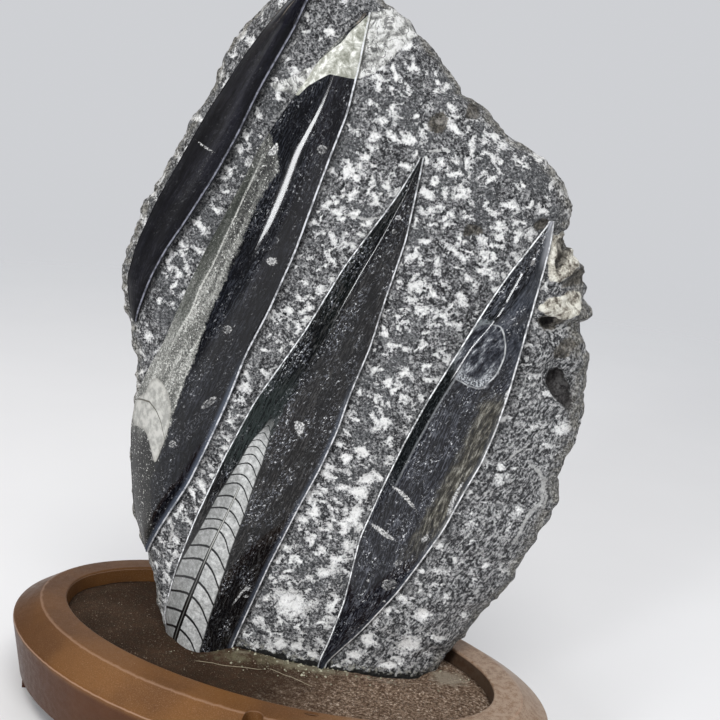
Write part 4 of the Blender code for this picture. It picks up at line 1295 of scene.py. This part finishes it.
def buildStand(form, finish):
    profile = roundedProfile(form["profile"]) * 0.001
    mesh = bpy.data.meshes.new("standProfile")
    places = [(out, 0, up) for out, up in profile]
    mesh.from_pydata(places, [(i, i + 1) for i in range(len(places) - 1)], [])
    maker = addObject("standProfile", mesh)
    settings = {"Half Length": form["halfLength"] * 0.001, "Half Width": form["halfWidth"] * 0.001,
                "Sides": form["sides"], "Points": len(places), "Finish": finish}
    runTree(maker, ovalSweepTree(), settings)
    stand = plainCopy(maker, "ovalStand")
    tidyMesh(stand, True)
    hole, notch = form["hole"], form["notch"]
    turn = math.radians(hole["turn"])
    outline = []
    for angle in np.linspace(0, 2 * math.pi, 40, endpoint=False):
        x, y = hole["half"][0] * math.cos(angle), hole["half"][1] * math.sin(angle)
        dx, dy = turned(x, y, turn)
        outline.append((hole["place"][0] + dx, hole["place"][1] + dy))
    holeCutter = upright(outline, form["top"] - hole["depth"], form["cutterTop"], "holeCutter")
    half, (cx, cy) = notch["half"], notch["place"]
    turn = math.radians(notch["turn"])
    local = [(half * math.cos(a), half * math.sin(a) - half) for a in np.linspace(0, math.pi, 24)]
    local += [(-half - 1.0, -notch["reach"]), (half + 1.0, -notch["reach"])]
    outline = [(cx + dx, cy + dy) for dx, dy in (turned(x, y, turn) for x, y in local)]
    notchCutter = upright(outline, notch["floor"], form["cutterTop"], "notchCutter")
    for cutter in (holeCutter, notchCutter):
        cutter.data.materials.append(finish)
        step = stand.modifiers.new(cutter.name, "BOOLEAN")
        step.operation, step.solver, step.object = "DIFFERENCE", "EXACT", cutter
    carved = plainCopy(stand, "ovalStand")
    for cutter in (holeCutter, notchCutter):
        bpy.data.objects.remove(cutter, do_unlink=True)
    carved.name = "ovalStand"
    carved.data.shade_smooth()
    carved.data.set_sharp_from_angle(angle=math.radians(form["sharpAngle"]))
    return carved


print("stand")
standBrown = standPaint("standClay", (0.16, 0.07, 0.021), (0.108, 0.047, 0.016))
ovalStand = buildStand(standForm, standBrown)
# The feet get a darker copy of the stand's paint: painted shade under the skirt.
footShadedBrown = standPaint("footClayShaded", (0.08, 0.035, 0.02), (0.05, 0.022, 0.014))


def sandPaint():
    paint = Paint("setSand", 0.85, 0.1)
    fine, mid, broad = paint.noise(0.7, 4, 0.7), paint.noise(3.5, 4, 0.6), paint.noise(22, 3, 0.5)
    colour = paint.colour(paint.mask(broad, 0.35, 0.65), (0.036, 0.019, 0.011),
                          (0.058, 0.033, 0.02))
    colour = paint.colour(paint.mask(mid, 0.4, 0.62, 0, 0.5), colour, (0.034, 0.024, 0.015))
    grit = paint.plus(paint.noise(1.3, 4, 0.75), paint.around(mid, 0.3))
    reach = paint.node("SeparateXYZ", {0: paint.place}).outputs[0]
    lit = paint.mask(paint.plus(reach, paint.around(mid, 40)), 5, 62)
    colour = paint.colour(lit, colour, paint.ramp(grit, (0.38, (0.06, 0.033, 0.02)),
                                                  (0.49, (0.15, 0.098, 0.065)),
                                                (0.58, (0.3, 0.215, 0.155)),
                                                  (0.68, (0.66, 0.56, 0.46))))
    powder = paint.mask(paint.plus(paint.value("powder"), paint.around(mid, 1.2)), 0.25, 0.8)
    colour = paint.colour(paint.times(powder, 0.75), colour, (0.3, 0.26, 0.2))
    green = paint.mask(paint.plus(paint.value("moss"), paint.around(mid, 1.4)), 0.3, 0.9)
    colour = paint.colour(paint.times(green, 0.6), colour, (0.19, 0.175, 0.11))
    colour = paint.colour(paint.mask(fine, 0.57, 0.68, 0, 0.7), colour, (0.22, 0.175, 0.125))
    colour = paint.colour(paint.mask(fine, 0.32, 0.43, 0.65, 0), colour, (0.012, 0.009, 0.006))
    return paint.finish(colour, None, paint.plus(fine, mid), 0.7, 1.0)


def buildFilling(form, finish):
    angle = np.linspace(0, 2 * math.pi, form["around"], endpoint=False)[None, :]
    share = np.linspace(1, 0.0, form["rings"])[:, None] ** 0.9
    longSide = standForm["halfLength"] - form["edge"]
    shortSide = standForm["halfWidth"] - form["edge"]
    core = longSide - shortSide
    # Rings shrink towards the middle line of the oval.
    x = (core * share ** 2 + shortSide * share) * np.cos(angle)
    y = shortSide * share * np.sin(angle)
    z = fillingHeight(x, y) - 0.8 * ease(share, 0.97, 1.0)
    top = np.stack([x, y, z], -1)
    skirt = top[:1].copy()
    skirt[..., 2] = form["underside"]
    skirt[..., :2] *= 0.97
    grid = np.concatenate([skirt, top], 0) * 0.001
    faces = loopFaces(*grid.shape[:2], lastCap=False)
    across, depth = slabPlace(grid[..., 0] * 1000, grid[..., 1] * 1000)
    values = {"powder": heap(across, depth, form["powder"]),
              "moss": heap(across, depth, form["moss"])}
    thing = addMesh("sandFilling", grid, faces, finish, values)
    tidyMesh(thing)
    return thing


# Two fine straws that lie on the sand: runs of (across, depth) and their half thickness.
strawForm = {"runs": (((-30.7, 23.9), (-21, 24.3), (-9, 24), (1.6, 22.6)),
                      ((4, 21), (10, 23.4), (16, 25.2), (25.7, 29.6))),
             "half": 0.13, "sides": 5, "steps": 14}


def buildStraws(form, finish):
    places, faces = [], []
    for run in form["runs"]:
        share = np.linspace(0, len(run) - 1, form["steps"])
        corners = np.array(run)
        across, depth = (np.interp(share, range(len(run)), corners[:, k]) for k in (0, 1))
        line = toWorld(np.stack([across, 0 * across, depth], -1)) * 1000
        line[:, 2] = fillingHeight(line[:, 0], line[:, 1]) + 0.2 + 0.3 * np.sin(share * 2.2) ** 2
        start = len(places)
        for i, centre in enumerate(line):
            ahead = line[min(i + 1, len(line) - 1)] - line[max(i - 1, 0)]
            sideways = np.cross(ahead, (0, 0, 1))
            sideways /= np.linalg.norm(sideways)
            thick = form["half"] * (0.3 if i in (0, len(line) - 1) else 1)
            for turn in np.arange(form["sides"]) * 2 * math.pi / form["sides"]:
                outwards = sideways * math.cos(turn) + np.array((0, 0, 1)) * math.sin(turn)
                places.append(centre + thick * outwards)
        faces += loopFaces(form["steps"], form["sides"], start)
    thing = addMesh("dryStraws", np.array(places) * 0.001, faces, finish)
    tidyMesh(thing)
    return thing


print("filling")
sand = sandPaint()
filling = buildFilling(fillingForm, sand)
strawPaint = Paint("dryStraw", 0.6, 0.3)
strawTone = strawPaint.colour(strawPaint.noise(3, 3), (0.2, 0.16, 0.1), (0.5, 0.44, 0.32))
straws = buildStraws(strawForm, strawPaint.finish(strawTone))


def scatterTree():
    # Lays small uneven grains on a surface, thicker where "density" is high.
    inputs = {"Density": "Float", "Smallest": "Float", "Largest": "Float", "Seed": "Int"}
    tree, given, out = newTree("grainScatter", "Bed", inputs, "Grains")
    nodes, links = tree.nodes, tree.links
    field = nodes.new("GeometryNodeInputNamedAttribute")
    field.data_type = "FLOAT"
    field.inputs["Name"].default_value = "density"
    times = nodes.new("ShaderNodeMath")
    times.operation = "MULTIPLY"
    links.new(field.outputs["Attribute"], times.inputs[0])
    links.new(given.outputs["Density"], times.inputs[1])
    spread = nodes.new("GeometryNodeDistributePointsOnFaces")
    links.new(given.outputs["Bed"], spread.inputs["Mesh"])
    links.new(times.outputs[0], spread.inputs["Density"])
    links.new(given.outputs["Seed"], spread.inputs["Seed"])
    ball = nodes.new("GeometryNodeMeshIcoSphere")
    ball.inputs["Radius"].default_value = 0.5
    ball.inputs["Subdivisions"].default_value = 1
    place = nodes.new("GeometryNodeInstanceOnPoints")
    links.new(spread.outputs["Points"], place.inputs["Points"])
    links.new(ball.outputs["Mesh"], place.inputs["Instance"])
    turn = nodes.new("FunctionNodeRandomValue")
    turn.data_type = "FLOAT_VECTOR"
    turn.inputs[1].default_value = (6.28, 6.28, 6.28)
    links.new(given.outputs["Seed"], turn.inputs["Seed"])
    links.new(turn.outputs[0], place.inputs["Rotation"])
    size = nodes.new("FunctionNodeRandomValue")
    size.data_type = "FLOAT"
    links.new(given.outputs["Smallest"], size.inputs[2])
    links.new(given.outputs["Largest"], size.inputs[3])
    links.new(given.outputs["Seed"], size.inputs["Seed"])
    uneven = nodes.new("FunctionNodeRandomValue")
    uneven.data_type = "FLOAT_VECTOR"
    uneven.inputs[0].default_value = (0.6, 0.6, 0.5)
    uneven.inputs[1].default_value = (1.3, 1.1, 0.9)
    scale = nodes.new("ShaderNodeVectorMath")
    scale.operation = "SCALE"
    links.new(uneven.outputs[0], scale.inputs[0])
    links.new(size.outputs[1], scale.inputs["Scale"])
    links.new(scale.outputs[0], place.inputs["Scale"])
    return endTree(tree, place.outputs[0], given, out)


grainTree = scatterTree()


def grainPaint(name, dark, light):
    paint = Paint(name, 0.75, 0.3)
    patch = paint.cells(1.6, output="Color")
    tone = paint.node("SeparateXYZ", {0: patch}).outputs[0]
    colour = paint.colour(tone, dark, light)
    colour = paint.colour(paint.mask(paint.noise(0.5, 3), 0.5, 0.7, 0, 0.4), colour,
                          (0.5, 0.48, 0.42))
    return paint.finish(colour, None, paint.noise(0.5, 3), 0.2, 0.6)


def layGrains(name, bed, density, sizes, seed, finish):
    maker = addObject(name + "Bed", bed)
    smallest, largest = (size * 0.001 for size in sizes)
    runTree(maker, grainTree, {"Density": density, "Smallest": smallest, "Largest": largest,
                               "Seed": seed, "Finish": finish})
    return plainCopy(maker, name)


# No grains below this height, nor where the stone stands, in mm.
bedLimits = {"lowest": 38, "across": (-54, 78), "depth": (-24, 6)}


def grainBed(name, spots):
    # Copy of the filling's top whose density attribute is high near the given spots.
    mesh = filling.data.copy()
    mesh.name = name
    places = np.zeros(len(mesh.vertices) * 3)
    mesh.vertices.foreach_get("co", places)
    places = places.reshape(-1, 3) * 1000
    across, depth = slabPlace(places[:, 0], places[:, 1])
    amount = heap(across, depth, spots)
    amount[places[:, 2] < bedLimits["lowest"]] = 0
    (left, right), (back, front) = bedLimits["across"], bedLimits["depth"]
    amount[(across > left) & (across < right) & (depth > back) & (depth < front)] = 0
    density = mesh.attributes.new("density", "FLOAT", "POINT")
    density.data.foreach_set("value", amount.astype(np.float32))
    return mesh


# Grains: their bed and its spots, each as (across, depth, reach in both, strength), how many to
# a square metre, their smallest and largest size in mm, their seed, their finish and two tones.
grainForms = {
    "fineGrains": {
        "bed": "fineBed", "spots": ((-60, 10, 60, 60, 0.25), (5, 18, 26, 8, 0.9),
                                    (70, 20, 40, 60, 0.9)),
        "density": 420000, "sizes": (0.25, 0.8), "seed": 3,
        "finish": "sandGrains", "tones": ((0.05, 0.033, 0.022), (0.2, 0.15, 0.11))},
    "paleCrumbs": {
        "bed": "paleBed", "spots": ((22, 12, 24, 4.5, 1.0), (16, 18, 16, 5, 0.5),
                                    (-10, 13, 30, 3, 0.4), (10, 18, 40, 7, 0.15),
                                    (86, 1, 7, 7, 0.25)),
        "density": 260000, "sizes": (0.4, 1.9), "seed": 5,
        "finish": "paleCrumb", "tones": ((0.12, 0.12, 0.07), (0.5, 0.48, 0.36))},
    "redCrumbs": {
        "bed": "redBed", "spots": ((56, 15, 10, 3, 1.0), (60, 20, 22, 7, 0.25)),
        "density": 220000, "sizes": (0.3, 1.3), "seed": 8,
        "finish": "redCrumb", "tones": ((0.12, 0.07, 0.05), (0.4, 0.27, 0.2))},
}
grains = []
for name, form in grainForms.items():
    grains.append(layGrains(name, grainBed(form["bed"], form["spots"]), form["density"],
                            form["sizes"], form["seed"],
                            grainPaint(form["finish"], *form["tones"])))
    print(name, len(grains[-1].data.polygons), "faces")

# What each piece stands for, what it rides on and where its finish comes from.
for piece in (stoneFace, stoneBack, *cones):
    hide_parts("fossil_stone")
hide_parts("sand_filling")
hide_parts("oval_stand")
for piece in (stoneFace, stoneBack, *cones, filling, straws, *grains, ovalStand):
    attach(piece, "root")
for side in ("left", "front", "right", "back"):
    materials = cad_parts["stand_foot_" + side].data.materials
    materials.clear()
    materials.append(footShadedBrown)

# Plain pale floor, soft studio light.
lightSetup = {
    "wall": (0.62, 0.63, 0.655), "shade": 0.12, "room": 0.55, "ceiling": 1.3, "fade": (0.35, 1.7),
    "lamps": (
        ("tallWindow", (-0.3, -1.9, 0.65), (0.0, 0.0, 0.3), (0.3, 0.8), 23, (0.975, 0.985, 1.0)),
        ("warmSide", (-0.8, 0.0, 1.0), (-0.05, -0.07, 0.04), (0.25, 0.25), 1.0, (1.0, 0.84, 0.64)),
        ("skyPanel", (0.7, -1.2, 2.1), (0.0, 0.0, 0.2), (1.1, 0.8), 27, (1.0, 0.99, 0.97)),
    ),
}


def addWorld(setup):
    # Pale wall behind, dimmer room in front and dimmest on the left, brighter overhead.
    world = bpy.data.worlds.new("studio")
    world.use_nodes = True
    nodes, links = world.node_tree.nodes, world.node_tree.links
    parts = nodes.new("ShaderNodeSeparateXYZ")
    links.new(nodes.new("ShaderNodeTexCoord").outputs["Generated"], parts.inputs[0])

    def step(value, low, high, start, end):
        made = nodes.new("ShaderNodeMapRange")
        made.interpolation_type = "SMOOTHSTEP"
        links.new(value, made.inputs["Value"])
        for label, given in (("From Min", low), ("From Max", high), ("To Min", start),
                             ("To Max", end)):
            if isinstance(given, bpy.types.NodeSocket):
                links.new(given, made.inputs[label])
            else:
                made.inputs[label].default_value = given
        return made.outputs[0]

    room = step(parts.outputs[0], -0.75, 0.5, setup["shade"], setup["room"])
    around = step(parts.outputs[1], 0.3, 0.7, room, 1.0)
    both = step(parts.outputs[2], 0.35, 0.85, around, setup["ceiling"])
    background = nodes["Background"]
    background.inputs[0].default_value = (*setup["wall"], 1)
    links.new(both, background.inputs[1])
    return world


def addStudio(setup):
    mesh = bpy.data.meshes.new("floor")
    mesh.from_pydata([(-4, -4, 0), (4, -4, 0), (4, 4, 0), (-4, 4, 0)], [], [(0, 1, 2, 3)])
    floor = addObject("floor", mesh)
    paint = Paint("paleFloor", 0.7, 0.3)
    paint.finish(paint.colour(paint.noise(120, 2), (0.76, 0.76, 0.765), (0.8, 0.8, 0.805)))
    # The floor melts into the wall further out.
    reach = paint.node("VectorMath", {0: paint.place}, operation="LENGTH").outputs["Value"]
    low, high = (side * 1000 for side in setup["fade"])
    paint.tree.links.new(paint.mask(reach, low, high, 1, 0), paint.shader.inputs["Alpha"])
    mesh.materials.append(paint.material)
    bpy.context.scene.world = addWorld(setup)
    for name, place, target, size, power, colour in setup["lamps"]:
        data = bpy.data.lights.new(name, "AREA")
        data.shape, data.size, data.size_y = "RECTANGLE", *size
        data.energy, data.color = power, colour
        lamp = addObject(name, data)
        turn = (Vector(target) - Vector(place)).to_track_quat("-Z", "Y")
        lamp.matrix_world = Matrix.Translation(place) @ turn.to_matrix().to_4x4()


bpy.context.scene.view_settings.view_transform = "Standard"
print("light")
addStudio(lightSetup)
